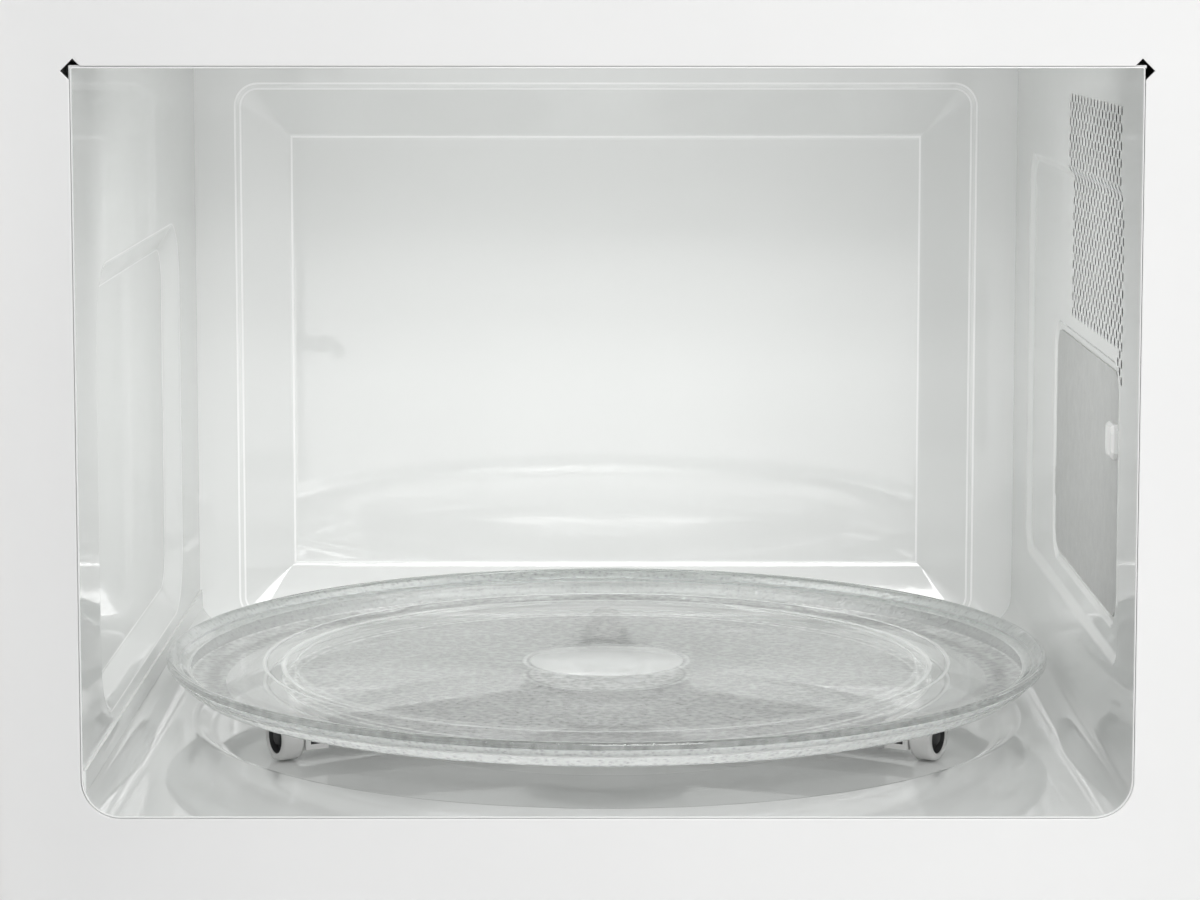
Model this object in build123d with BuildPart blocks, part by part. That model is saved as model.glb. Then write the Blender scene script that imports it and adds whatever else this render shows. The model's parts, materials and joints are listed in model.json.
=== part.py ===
from build123d import *
import os
from math import atan2, cos, pi, radians, sin, sqrt

os.makedirs("parts", exist_ok=True)

# The oven stands with X to the right, Y to the rear and Z up, in millimetres. X is zero on the
# centreline of the front frame, Y is zero on the front face of the front plate, which is also the
# front plane of the cabinet, and Z is zero on the underside of the base plate.

# Materials in sheet and moulded wall
sheet = 0.8
wall = 2.5
gap = 0.3
running = 0.05

# Casing
casing_inset = 20.0
casing_drop = 19.8
casing_bend = 5.0
base_lip = 4.0
base_flange = 10.0

# Front frame
frame_width = 594.0
frame_height = 371.0
frame_depth = 22.0
frame_side = 27.0
frame_rail = 21.0
frame_corner = 4.0
frame_edge = 2.0
frame_relief = 1.0
cabinet_screw_inset = 10.0
cabinet_screw_spread = 210.0
cabinet_hole_radius = 2.25
cabinet_boss = 5.0

# Cavity
cavity_x = -70.0
cavity_floor = 84.0
cavity_width = 285.0
cavity_height = 203.0
cavity_depth = 272.2
pan_radius = 10.2
pan_upstand = 12.5
weld_flange = 8.0
notch_side = 3.5
notch_out = 0.3
notch_drop = 0.7
corner_cuts = 3

# Dished floor under the turntable
tray_y = 137.5
dish_radius = 127.0
dish_depth = 3.7
dish_slope = 5.0
well_radius = 74.0
well_depth = 2.4
well_slope = 3.0
drive_hole_radius = 8.0

# Pressed panels of the cavity walls, measured from the cavity's front, floor and ceiling
left_panel_front = 38.0
left_panel_back = 224.0
left_panel_low = 17.0
left_panel_high = 146.0
left_panel_radius = 20.0
left_panel_depth = 5.0
left_panel_slope = 8.0
right_panel_front = 30.0
right_panel_back = 233.0
right_panel_low = 34.0
right_panel_drop = 34.5
right_panel_radius = 10.0
right_panel_depth = 1.5
right_panel_slope = 2.5
back_step_side = 15.0
back_step_low = 3.0
back_step_drop = 14.0
back_step_radius = 7.0
back_step_run = 18.0
back_step_rise = 17.0
back_step_inner_radius = 4.0
back_step_depth = 8.0

# Mica cover over the microwave feed
mica_front = 47.0
mica_length = 128.0
mica_low = 45.0
mica_height = 70.5
mica_radius = 8.0
mica_thickness = 0.5
mica_lip = 3.0
mica_recess = 1.0
mica_tab_low = 61.0
mica_tab_height = 9.5
mica_tab_reach = 2.2
clip_front = 46.5
clip_length = 12.5
clip_low = 91.0
clip_height = 10.0
clip_stand = 2.0
clip_corner = 2.0
clip_edge = 0.8
clip_stem = 4.0
feed_front = 62.0
feed_length = 80.0
feed_low = 58.0
feed_height = 44.0

# Vent holes punched in the right wall
vent_front = 37.0
vent_columns = 7
vent_pitch = 16.8
vent_drop = 12.0
vent_row_pitch = 20.0
vent_rows_rear = 3
vent_rows_front = 4
vent_hole = 4.6

# Waveguide and magnetron
guide_depth = 38.0
guide_front = 54.0
guide_length = 114.0
guide_low = 52.0
guide_height = 56.0
guide_flange = 8.0
guide_sheet = 1.0
antenna_back = 20.0
antenna_radius = 7.5
antenna_reach = 20.0
yoke_length = 80.0
yoke_height = 68.0
yoke_width = 62.0
yoke_sheet = 1.5
anode_radius = 20.0
magnet_radius = 27.0
magnet_thickness = 12.0
fin_count = 4
anode_sides = 12
fin_thickness = 0.8
filter_box = 26.0

# Transformer, capacitor and diode
core_inset = 67.0
core_y = 118.0
core_width = 90.0
core_stack = 56.0
core_height = 76.0
core_limb = 15.0
core_window = 15.0
core_foot = 12.0
coil_overhang = 14.0
coil_gap = 0.5
can_x = 126.0
can_front = 150.0
can_length = 88.0
can_width = 52.0
can_height = 34.0
terminal_length = 9.0
diode_radius = 3.2
diode_length = 12.0
diode_lead = 0.8

# Cooling fan
fan_x = 168.0
fan_z = 170.0
fan_radius = 54.0
fan_stand = 48.2
mouth_sides = 24
fan_width = 20.0
fan_hub_sides = 12
fan_hub_radius = 13.0
fan_blades = 5
fan_tip_gap = 3.0
fan_pitch = 26.0
fan_blade_thickness = 1.6
fan_shaft_radius = 2.0
shroud_side = 128.0
shroud_wall = 2.0
motor_stand = 23.2
motor_core_stack = 15.0
motor_core_width = 62.0
motor_core_height = 50.0
motor_coil_half = 17.0
motor_coil_drop = 6.0
motor_coil_rise = 8.0
motor_post_half = 4.0
motor_post_low = 10.0
motor_bearing_radius = 7.0
motor_bearing_stand = 3.0
motor_bore_depth = 14.0
motor_coil_stand = 4.0

# Air duct and oven lamp
duct_wall = 2.0
duct_front = 30.0
duct_back = 150.0
duct_low = 121.0
duct_drop = 9.0
duct_reach = 24.0
inlet_front = 60.0
inlet_back = 104.0
inlet_left = 115.0
inlet_right = 178.0
inlet_low = 44.0
lamp_radius = 9.0
lamp_length = 27.0
lamp_neck = 6.0
lamp_sides = 12
lamp_cap_radius = 6.5
lamp_cap_length = 20.0
lamp_drop = 25.0
holder_side = 22.0
holder_corner = 3.0
holder_length = 22.0

# Turntable drive, roller ring and glass tray
tray_radius = 136.0
tray_underside = 10.7
tray_rim = 9.3
tray_slope = 6.8
tray_plate = 4.3
tray_step = 1.3
tray_plateau = 106.0
tray_ridge = 5.6
track_radius = 110.0
wheel_count = 3
wheel_width = 7.0
wheel_gap = 0.2
axle_radius = 2.0
axle_snap = 0.55
snap_sides = 8
hub_recess_radius = 3.75
hub_recess_depth = 2.4
ring_bore_radius = 19.5
ring_hub_radius = 27.0
ring_sides = 30
ring_hub_height = 7.0
arm_width_hub = 30.0
arm_width_end = 13.0
arm_thickness = 2.5
arm_rib_height = 3.5
arm_rib = 2.0
arm_block_length = 7.5
coupler_radius = 11.0
coupler_sides = 18
coupler_wing_reach = 15.0
coupler_wing = 5.0
tray_lug_width = 8.0
tray_lug_inner = 7.5
tray_lug_outer = 17.0
tray_lug_height = 4.5
shaft_radius = 3.5
shaft_flat = 2.5
shaft_top = 6.0
turntable_motor_radius = 25.0
turntable_motor_height = 16.0
motor_ear_reach = 36.0
motor_sides = 20

# Back plate: louvres and mains inlet
louvre_rows = 6
louvre_columns = 2
louvre_length = 46.0
louvre_height = 5.0
louvre_pitch = 17.0
inlet_inset = 27.0
inlet_drop = 52.0
inlet_radius = 7.0
inlet_sides = 12
gland_bore_radius = 4.0

# Mains filter board
filter_inset = 89.0
filter_drop = 64.0
filter_width = 84.0
filter_height = 62.0
board_thickness = 1.6
filter_standoff = 8.0

# Door
door_open = 90.0
door_left_gap = 2.5
door_gap = 2.0
hinge_inset = 16.0
hinge_setback = 8.0
door_thickness = 25.0
plate_gap = 0.5
door_right = 121.0
door_edge = 2.0
door_wall = 2.5
door_front_wall = 3.0
door_centre_z = 185.5
window_width = 300.0
window_height = 212.0
window_corner = 6.0
glass_overlap = 6.0
glass_thickness = 3.2
seal_width = 309.0
seal_height = 227.0
seal_corner = 6.0
screen_width = 255.0
screen_height = 175.0
screen_overlap = 8.0
screen_thickness = 0.5
screen_columns = 6
screen_rows = 4
screen_hole = 26.0
screen_pitch_x = 40.0
screen_pitch_z = 40.0
choke_width = 13.0
choke_depth = 12.0
choke_slot = 5.0
choke_slot_depth = 6.0
choke_pitch = 32.0
choke_slots_wide = 10
choke_slots_high = 7
cover_thickness = 2.5
door_boss = 4.0
door_boss_spread = 240.0

# Door hinges
pin_radius = 2.25
ear_radius = 4.5
ear_thickness = 2.0
ear_inset = 4.0
pocket_clearance = 1.8
pocket_reach = 11.0
tab_thickness = 2.0
tab_reach = 30.0
tab_back = 10.0
tab_leg = 40.0
bracket_leg = 40.0
pin_head = 1.5
pin_collar = 3.7

# Latch bar and interlock
hook_inset = 13.0
hook_thickness = 4.0
hook_low_z = 110.0
hook_high_z = 262.0
hook_height = 12.0
hook_reach = 23.0
barb_drop = 3.0
barb_length = 6.5
latch_travel = 4.0
latch_bar_width = 12.0
latch_bar_thickness = 3.0
latch_bar_setback = 3.0
latch_bar_overrun = 14.0
latch_post_radius = 2.0
latch_spring_length = 24.0
latch_spring_radius = 3.2
latch_spring_wire = 0.8
latch_spring_turns = 5
latch_spring_sides = 8
bracket_left = 96.0
bracket_right = 120.0
bracket_low = 72.0
bracket_high = 292.0
bracket_depth = 44.0
switch_length = 28.0
switch_depth = 16.0
switch_width = 10.0
plunger_half = 1.2
plunger_travel = 1.2
plunger_stand = 4.0
plunger_inset = 3.0

# Release button and lever
pivot_y = 12.0
pivot_z = 84.0
pivot_radius = 4.0
lever_hub = 6.0
lever_pad_front = 20.0
lever_pad_back = 26.0
lever_pad_z = 100.6
lever_arm_low = 48.0
lever_arm_half = 3.0
lifter_left = 104.0
lifter_right = 112.0
lever_arm_left = 146.0
lever_arm_right = 154.0
stem_low = 49.0
stem_high = 54.0

# Control fascia
fascia_left = 123.0
module_side = 17.0
module_inset = 25.0
fascia_edge = 2.0
fascia_proud = 0.8
display_drop = 39.5
display_width = 100.0
display_height = 28.0
display_lip = 3.0
display_glass = 1.5
button_drop = 43.0
button_width = 31.0
button_pitch = 38.0
wide_button_z = 116.0
wide_button_width = 50.0
wide_button_pitch = 57.0
button_height = 12.0
button_lip = 1.0
button_edge = 0.5
button_flange = 1.5
button_stem = 4.0
button_travel = 1.0
dial_z = 192.0
dial_radius = 22.0
dial_length = 20.0
dial_sides = 24
dial_stem_radius = 3.0
release_z = 56.0
release_width = 107.0
release_height = 40.0
release_lip = 1.5
board_front = -7.0
board_low = 90.0
board_drop = 14.0
board_margin = 12.0
board_boss = 3.5
encoder_side = 13.0
encoder_height = 7.0
encoder_sleeve = 4.5
encoder_reach = 13.0
tact_side = 6.0
tact_height = 6.0

# Places that follow from the sizes above
base_top = sheet
casing_width = frame_width - 2 * casing_inset
casing_height = frame_height - casing_drop
casing_top = base_top + casing_height
casing_side = casing_width / 2
casing_mid_z = (base_top + casing_top) / 2
frame_low = base_top
frame_high = frame_low + frame_height
frame_mid_z = frame_low + frame_height / 2
aperture_side = frame_width / 2 - frame_side
cabinet_screw_x = frame_width / 2 - cabinet_screw_inset
core_x = casing_side - core_inset
inlet_x = casing_side - inlet_inset
inlet_z = casing_top - inlet_drop
filter_x = casing_side - filter_inset
filter_z = casing_top - filter_drop
module_left = fascia_left + module_side
module_right = casing_side - module_inset
aperture_low = frame_low + frame_rail
aperture_high = frame_high - frame_rail
board_high = casing_top - board_drop
display_z = aperture_high - gap - display_drop
button_z = display_z - button_drop
cavity_left = cavity_x - cavity_width / 2
cavity_right = cavity_x + cavity_width / 2
cavity_top = cavity_floor + cavity_height
cavity_mid_z = cavity_floor + cavity_height / 2
pan_top = cavity_floor + pan_upstand
fan_front = cavity_depth - fan_stand
motor_core_front = cavity_depth - motor_stand
track_z = cavity_floor - dish_depth
well_z = track_z - well_depth
tray_axis = Axis((cavity_x, tray_y, 0), (0, 0, 1))
door_left = -aperture_side + door_left_gap
hinge_x = door_left + hinge_inset
door_inner = hinge_setback - door_thickness
hinge_y = door_inner - plate_gap
door_span = door_right - hinge_x
hook_u = door_span - hook_inset
door_low = aperture_low + door_gap
door_high = aperture_high - door_gap
door_centre_u = cavity_x - hinge_x
front_face_y = hinge_y - hinge_setback
turn = radians(door_open)
door_across = Vector(cos(turn), -sin(turn), 0)
door_out = Vector(-sin(turn), -cos(turn), 0)
hinge_foot = Vector(hinge_x, hinge_y, 0)


def at_height(z):
    """Level plane at height z, for sketches in x and y."""
    return Plane.XY.offset(z)


def at_depth(y):
    """Upright plane y behind the front plate, for sketches in x and z. It faces the front."""
    return Plane.XZ.offset(-y)


def at_side(x):
    """Upright plane at x, for sketches in y and z. It faces right."""
    return Plane.YZ.offset(x)


def door_face(w):
    """Plane of the door leaf, w in front of the hinge axis, for sketches in door width and z."""
    return Plane(origin=hinge_foot + door_out * w, x_dir=door_across, z_dir=door_out)


def door_section(z):
    """Level plane through the door leaf, for sketches in door width and distance behind the hinge axis."""
    return Plane(origin=hinge_foot + Vector(0, 0, z), x_dir=door_across, z_dir=(0, 0, 1))


def block(across, along, upward, mode=Mode.ADD):
    """Box between two values on each axis of the part that is being built."""
    middle = [sum(span) / 2 for span in (across, along, upward)]
    with Locations(tuple(middle)):
        Box(across[1] - across[0], along[1] - along[0], upward[1] - upward[0], mode=mode)


def rod(centre, radius, length, turned, mode=Mode.ADD):
    """Round bar about its middle, turned from upright by three angles."""
    with Locations(centre):
        Cylinder(radius, length, rotation=turned, mode=mode)


def prism(foot, radius, length, heading, sides, mode=Mode.ADD):
    """Many-sided bar from its foot along a heading."""
    with BuildSketch(Plane(origin=foot, z_dir=heading)) as section:
        RegularPolygon(radius, sides)
    extrude(section.sketch, amount=length, mode=mode)


def cut_rectangle(width, height, radius, mode=Mode.ADD):
    """Rectangle in a sketch whose corners are rounded by short straight cuts."""
    points = []
    for side, end, start in ((1, -1, -90), (1, 1, 0), (-1, 1, 90), (-1, -1, 180)):
        for step in range(corner_cuts + 1):
            bearing = radians(start + 90 * step / corner_cuts)
            across = side * (width / 2 - radius) + radius * cos(bearing)
            points.append((across, end * (height / 2 - radius) + radius * sin(bearing)))
    Polygon(*points, align=None, mode=mode)


along_x = (0, 90, 0)
along_y = (90, 0, 0)
upright = (0, 0, 0)


def save(piece, node):
    """Name a finished piece and write it."""
    piece.part.label = node
    export_step(piece.part, f"parts/{node}.step")


# Base plate: a flat sheet with turned-up sides, whose front lip carries the front frame
with BuildPart() as base_plate:
    block((-casing_side, casing_side), (-base_lip, cavity_depth + sheet), (0, sheet))
    for side in (-1, 1):
        inner = sorted((side * (casing_side - sheet), side * (casing_side - 2 * sheet)))
        block(inner, (2 * sheet, cavity_depth - sheet), (sheet, sheet + base_flange))
    with Locations((core_x - 10, 215, 0)):
        with GridLocations(0, louvre_pitch, 1, 3):
            Box(60, louvre_height, 4 * sheet, mode=Mode.SUBTRACT)
save(base_plate, "base_plate")

# Outer casing: one sheet folded over the left side, the top and the right side
louvre_spread = 5
with BuildPart() as outer_casing:
    with BuildSketch(at_depth(sheet)):
        with BuildLine():
            skin = FilletPolyline(
                (-casing_side, base_top),
                (-casing_side, casing_top),
                (casing_side, casing_top),
                (casing_side, base_top),
                radius=casing_bend,
            )
            offset(skin, amount=sheet, side=Side.RIGHT)
        make_face()
    extrude(amount=-(cavity_depth - sheet))
    for side in (-1, 1):
        with Locations((side * casing_side, 190, 260)):
            with GridLocations(0, louvre_pitch, 1, louvre_spread):
                Box(6 * sheet, 4, 42, mode=Mode.SUBTRACT)
save(outer_casing, "outer_casing")

# Outline of the cavity opening, with two rounded lower corners and relief notches in its upper corners
with BuildSketch() as opening_outline:
    with Locations((cavity_x, cavity_mid_z)):
        Rectangle(cavity_width, cavity_height)
    fillet(opening_outline.vertices().group_by(Axis.Y)[0], pan_radius)
    with Locations(
        (cavity_left + notch_out, cavity_top - notch_drop),
        (cavity_right - notch_out, cavity_top - notch_drop),
    ):
        Rectangle(notch_side, notch_side, rotation=45)

# Front plate: the flange that the door closes on
ear_low_z = door_low + ear_inset
ear_high_z = door_high - ear_inset - ear_thickness
hook_x = hinge_x + hook_u
hook_slot_width = 12.0
hook_slot_height = hook_height + latch_travel + 8
hook_slot_shift = latch_travel / 2
module_low = 34.0
with BuildPart() as front_plate:
    with BuildSketch(at_depth(0)) as plate_face:
        with Locations((0, casing_mid_z)):
            Rectangle(casing_width, casing_top - base_top)
        fillet(plate_face.vertices().group_by(Axis.Y)[-1], casing_bend)
        add(opening_outline.sketch_local, mode=Mode.SUBTRACT)
        with Locations(
            (hook_x, hook_low_z + hook_slot_shift), (hook_x, hook_high_z + hook_slot_shift)
        ):
            Rectangle(hook_slot_width, hook_slot_height, mode=Mode.SUBTRACT)
        with Locations(
            (hinge_x, ear_low_z + ear_thickness / 2), (hinge_x, ear_high_z + ear_thickness / 2)
        ):
            Rectangle(2 * (ear_radius + gap), ear_thickness + 2 * gap, mode=Mode.SUBTRACT)
        with Locations(((module_left + module_right) / 2, (module_low + board_high) / 2)):
            Rectangle(module_right - module_left, board_high - module_low, mode=Mode.SUBTRACT)
    extrude(amount=-sheet)
save(front_plate, "front_plate")

# Cavity floor: a pan with rounded sides and a dished track under the turntable
with BuildPart() as cavity_pan:
    with BuildSketch(at_depth(sheet)):
        with BuildLine():
            pan_line = FilletPolyline(
                (cavity_left, pan_top),
                (cavity_left, cavity_floor),
                (cavity_right, cavity_floor),
                (cavity_right, pan_top),
                radius=pan_radius,
            )
            offset(pan_line, amount=sheet, side=Side.RIGHT)
        make_face()
    extrude(amount=-(cavity_depth - sheet))
    flat_side = cavity_width / 2 - pan_radius
    block(
        (cavity_x - flat_side, cavity_x + flat_side),
        (cavity_depth - sheet, cavity_depth),
        (cavity_floor - sheet - weld_flange, cavity_floor - sheet),
    )
    for skin_drop, how in ((sheet, Mode.ADD), (0, Mode.SUBTRACT)):
        with BuildSketch(at_depth(tray_y)):
            with BuildLine():
                Polyline(
                    (cavity_x, cavity_floor - skin_drop),
                    (cavity_x + dish_radius, cavity_floor - skin_drop),
                    (cavity_x + dish_radius - dish_slope, track_z - skin_drop),
                    (cavity_x + well_radius, track_z - skin_drop),
                    (cavity_x + well_radius - well_slope, well_z - skin_drop),
                    (cavity_x, well_z - skin_drop),
                    close=True,
                )
            make_face()
        revolve(axis=tray_axis, mode=how)
    rod((cavity_x, tray_y, well_z), drive_hole_radius, 4 * sheet, upright, Mode.SUBTRACT)
save(cavity_pan, "cavity_floor")

# Left cavity wall, with its pressed panel
left_panel_y = (left_panel_front + left_panel_back) / 2
left_panel_z = cavity_floor + (left_panel_low + left_panel_high) / 2
left_panel_length = left_panel_back - left_panel_front
left_panel_height = left_panel_high - left_panel_low
with BuildPart() as left_wall:
    block((cavity_left - sheet, cavity_left), (sheet, cavity_depth), (pan_top, cavity_top))
    block(
        (cavity_left - sheet - weld_flange, cavity_left - sheet),
        (cavity_depth - sheet, cavity_depth),
        (pan_top, cavity_top),
    )
    for face_x, how in ((cavity_left - sheet, Mode.ADD), (cavity_left, Mode.SUBTRACT)):
        with BuildSketch(at_side(face_x)):
            with Locations((left_panel_y, left_panel_z)):
                cut_rectangle(left_panel_length, left_panel_height, left_panel_radius)
        with BuildSketch(at_side(face_x - left_panel_depth)):
            with Locations((left_panel_y, left_panel_z)):
                cut_rectangle(
                    left_panel_length - 2 * left_panel_slope,
                    left_panel_height - 2 * left_panel_slope,
                    left_panel_radius - left_panel_slope,
                )
        loft(ruled=True, mode=how)
save(left_wall, "cavity_left_wall")

# Right cavity wall: pressed panel, recess of the mica cover, feed window and vent holes
right_panel_y = (right_panel_front + right_panel_back) / 2
right_panel_length = right_panel_back - right_panel_front
right_panel_base = cavity_floor + right_panel_low
right_panel_top = cavity_top - right_panel_drop
right_panel_z = (right_panel_base + right_panel_top) / 2
right_panel_height = right_panel_top - right_panel_base
mica_y = mica_front + mica_length / 2
mica_z = cavity_floor + mica_low + mica_height / 2
recess_length = mica_length + 2 * mica_lip
recess_height = mica_height + 2 * mica_lip
recess_x = cavity_right + right_panel_depth + mica_recess
mica_x = recess_x - mica_thickness
mica_back = mica_front + mica_length
feed_y = feed_front + feed_length / 2
feed_z = cavity_floor + feed_low + feed_height / 2
tab_slot_z = cavity_floor + mica_tab_low + mica_tab_height / 2
clip_y = clip_front + clip_length / 2
clip_z = cavity_floor + clip_low + clip_height / 2
with BuildPart() as right_wall:
    block((cavity_right, cavity_right + sheet), (sheet, cavity_depth), (pan_top, cavity_top))
    block(
        (cavity_right + sheet, cavity_right + sheet + weld_flange),
        (cavity_depth - sheet, cavity_depth),
        (pan_top, cavity_top),
    )
    for face_x, skin, how in (
        (cavity_right + sheet, sheet, Mode.ADD),
        (cavity_right, 0, Mode.SUBTRACT),
    ):
        with BuildSketch(at_side(face_x)):
            with Locations((right_panel_y, right_panel_z)):
                cut_rectangle(right_panel_length, right_panel_height, right_panel_radius)
        with BuildSketch(at_side(face_x + right_panel_depth)):
            with Locations((right_panel_y, right_panel_z)):
                cut_rectangle(
                    right_panel_length - 2 * right_panel_slope,
                    right_panel_height - 2 * right_panel_slope,
                    right_panel_radius - right_panel_slope,
                )
        loft(ruled=True, mode=how)
        with BuildSketch(at_side(face_x + right_panel_depth)):
            with Locations((mica_y, mica_z)):
                RectangleRounded(
                    recess_length + 2 * skin, recess_height + 2 * skin, mica_radius + mica_lip + skin
                )
        extrude(amount=mica_recess, mode=how)
    with BuildSketch(at_side(cavity_right)):
        with Locations((feed_y, feed_z)):
            Rectangle(feed_length, feed_height)
        with Locations((mica_back + mica_tab_reach / 2, tab_slot_z)):
            Rectangle(mica_tab_reach, mica_tab_height)
        with Locations((clip_y, clip_z)):
            Circle(clip_stem / 2)
        for column in range(vent_columns):
            share = column / (vent_columns - 1)
            rows = round(vent_rows_front + (vent_rows_rear - vent_rows_front) * share)
            stagger = (column % 2) * vent_row_pitch / 2
            for row in range(rows):
                hole_y = vent_front + column * vent_pitch
                hole_z = cavity_top - vent_drop - stagger - row * vent_row_pitch
                with Locations((hole_y, hole_z)):
                    RegularPolygon(vent_hole / 2, 4)
    extrude(amount=recess_x + sheet, mode=Mode.SUBTRACT)
save(right_wall, "cavity_right_wall")

# Cavity ceiling, laid on the two side walls
with BuildPart() as ceiling:
    block(
        (cavity_left - sheet, cavity_right + sheet),
        (sheet, cavity_depth),
        (cavity_top, cavity_top + sheet),
    )
    block(
        (cavity_left, cavity_right),
        (cavity_depth - sheet, cavity_depth),
        (cavity_top + sheet, cavity_top + sheet + weld_flange),
    )
save(ceiling, "cavity_ceiling")

# Back plate: closes the cavity with its pressed step, and the casing with its louvres
step_width = cavity_width - 2 * back_step_side
step_low = cavity_floor + back_step_low
step_high = cavity_top - back_step_drop
inner_low = step_low + back_step_rise
inner_high = step_high - back_step_run
motor_post_x = motor_core_width / 2 - 5
with BuildPart() as back_plate:
    with BuildSketch(at_depth(cavity_depth)) as back_outline:
        with Locations((0, casing_mid_z)):
            Rectangle(casing_width, casing_top - base_top)
        fillet(back_outline.vertices().group_by(Axis.Y)[-1], casing_bend)
        with Locations((inlet_x, inlet_z)):
            RegularPolygon(inlet_radius, inlet_sides, mode=Mode.SUBTRACT)
        with Locations((fan_x, fan_z)):
            with GridLocations(louvre_length + 8, louvre_pitch, louvre_columns, louvre_rows):
                Rectangle(louvre_length, louvre_height, mode=Mode.SUBTRACT)
    extrude(amount=-sheet)
    for face_y, how in ((cavity_depth + sheet, Mode.ADD), (cavity_depth, Mode.SUBTRACT)):
        with BuildSketch(at_depth(face_y)):
            with Locations((cavity_x, (step_low + step_high) / 2)):
                cut_rectangle(step_width, step_high - step_low, back_step_radius)
        with BuildSketch(at_depth(face_y + back_step_depth)):
            with Locations((cavity_x, (inner_low + inner_high) / 2)):
                cut_rectangle(
                    step_width - 2 * back_step_run, inner_high - inner_low, back_step_inner_radius
                )
        loft(ruled=True, mode=how)
save(back_plate, "back_plate")

# Mains inlet gland: a grooved bush in the back plate
gland_lip = 2.5
gland_nose = 6.0
with BuildPart() as gland:
    for start, reach, length in (
        (cavity_depth - gland_lip, inlet_radius + gland_lip, gland_lip),
        (cavity_depth + sheet, inlet_radius + gland_lip, gland_nose),
    ):
        with BuildSketch(at_depth(start)):
            with Locations((inlet_x, inlet_z)):
                RegularPolygon(reach, 6)
        extrude(amount=-length)
    with BuildSketch(at_depth(cavity_depth)):
        with Locations((inlet_x, inlet_z)):
            RegularPolygon(inlet_radius, inlet_sides)
    extrude(amount=-sheet)
    with BuildSketch(at_depth(cavity_depth - gland_lip)):
        with Locations((inlet_x, inlet_z)):
            RegularPolygon(gland_bore_radius, inlet_sides)
    extrude(amount=-(2 * gland_lip + gland_nose), mode=Mode.SUBTRACT)
save(gland, "mains_inlet_gland")

# Mica cover: a thin sheet in its recess, with a tab in the rear slot
with BuildPart() as mica_cover:
    with BuildSketch(at_side(mica_x)):
        with Locations((mica_y, mica_z)):
            RectangleRounded(mica_length, mica_height, mica_radius)
        with Locations((clip_y, clip_z)):
            Circle(clip_stem / 2, mode=Mode.SUBTRACT)
    extrude(amount=mica_thickness)
    block(
        (recess_x - mica_thickness, recess_x + sheet),
        (mica_back - mica_tab_reach, mica_back + mica_tab_reach),
        (tab_slot_z - mica_tab_height / 2 + gap, tab_slot_z + mica_tab_height / 2 - gap),
    )
    block(
        (recess_x, recess_x + sheet),
        (mica_back - mica_tab_reach, mica_back),
        (tab_slot_z - mica_tab_height / 2, tab_slot_z + mica_tab_height / 2),
        Mode.SUBTRACT,
    )
save(mica_cover, "mica_cover")

# Clip that holds the front edge of the mica cover
with BuildPart() as mica_clip:
    with BuildSketch(at_side(mica_x - clip_stand)):
        with Locations((clip_y, clip_z)):
            Rectangle(clip_length, clip_height)
    extrude(amount=clip_stand)
    chamfer(mica_clip.edges().filter_by(Axis.X), clip_corner)
    chamfer(mica_clip.faces().sort_by(Axis.X)[0].edges(), clip_edge)
    stem_length = mica_thickness + sheet
    rod((mica_x + stem_length / 2, clip_y, clip_z), clip_stem / 2, stem_length, along_x)
save(mica_clip, "mica_clip")

# Waveguide: a flanged sheet duct on the outside of the right wall
guide_x = recess_x + sheet
guide_out = guide_x + guide_depth
guide_y = guide_front + guide_length / 2
guide_z = cavity_floor + guide_low + guide_height / 2
antenna_y = guide_front + guide_length - antenna_back
with BuildPart() as waveguide:
    with BuildSketch(at_side(guide_x)):
        with Locations((guide_y, guide_z)):
            Rectangle(guide_length + 2 * guide_flange, guide_height + 2 * guide_flange)
    extrude(amount=guide_sheet)
    with BuildSketch(at_side(guide_x)):
        with Locations((guide_y, guide_z)):
            Rectangle(guide_length, guide_height)
    extrude(amount=guide_depth)
    inner_length = guide_length - 2 * guide_sheet
    inner_height = guide_height - 2 * guide_sheet
    with BuildSketch(at_side(guide_x)):
        with Locations((guide_y, guide_z)):
            Rectangle(inner_length, inner_height)
    extrude(amount=guide_depth - guide_sheet, mode=Mode.SUBTRACT)
    hole_centre = (guide_out, antenna_y, guide_z)
    rod(hole_centre, antenna_radius + gap, 4 * guide_sheet, along_x, Mode.SUBTRACT)
save(waveguide, "waveguide")

# Magnetron yoke: a steel box open to the cooling air, with the filter box on its far side
yoke_out = guide_out + yoke_width
yoke_y = (antenna_y - yoke_length / 2, antenna_y + yoke_length / 2)
yoke_z = (guide_z - yoke_height / 2, guide_z + yoke_height / 2)
with BuildPart() as yoke:
    block((guide_out, yoke_out), yoke_y, yoke_z)
    block(
        (guide_out + yoke_sheet, yoke_out - yoke_sheet),
        (yoke_y[0] - 1, yoke_y[1] + 1),
        (yoke_z[0] + yoke_sheet, yoke_z[1] - yoke_sheet),
        Mode.SUBTRACT,
    )
    rod((guide_out, antenna_y, guide_z), antenna_radius + gap, 4 * yoke_sheet, along_x, Mode.SUBTRACT)
    block(
        (yoke_out, yoke_out + filter_box),
        (antenna_y - filter_box, antenna_y + filter_box),
        (guide_z - filter_box, guide_z + filter_box),
    )
    block(
        (yoke_out + filter_box, yoke_out + filter_box + 10),
        (antenna_y - 8, antenna_y + 8),
        (guide_z - filter_box + 4, guide_z - filter_box + 14),
    )
save(yoke, "magnetron_yoke")

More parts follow.
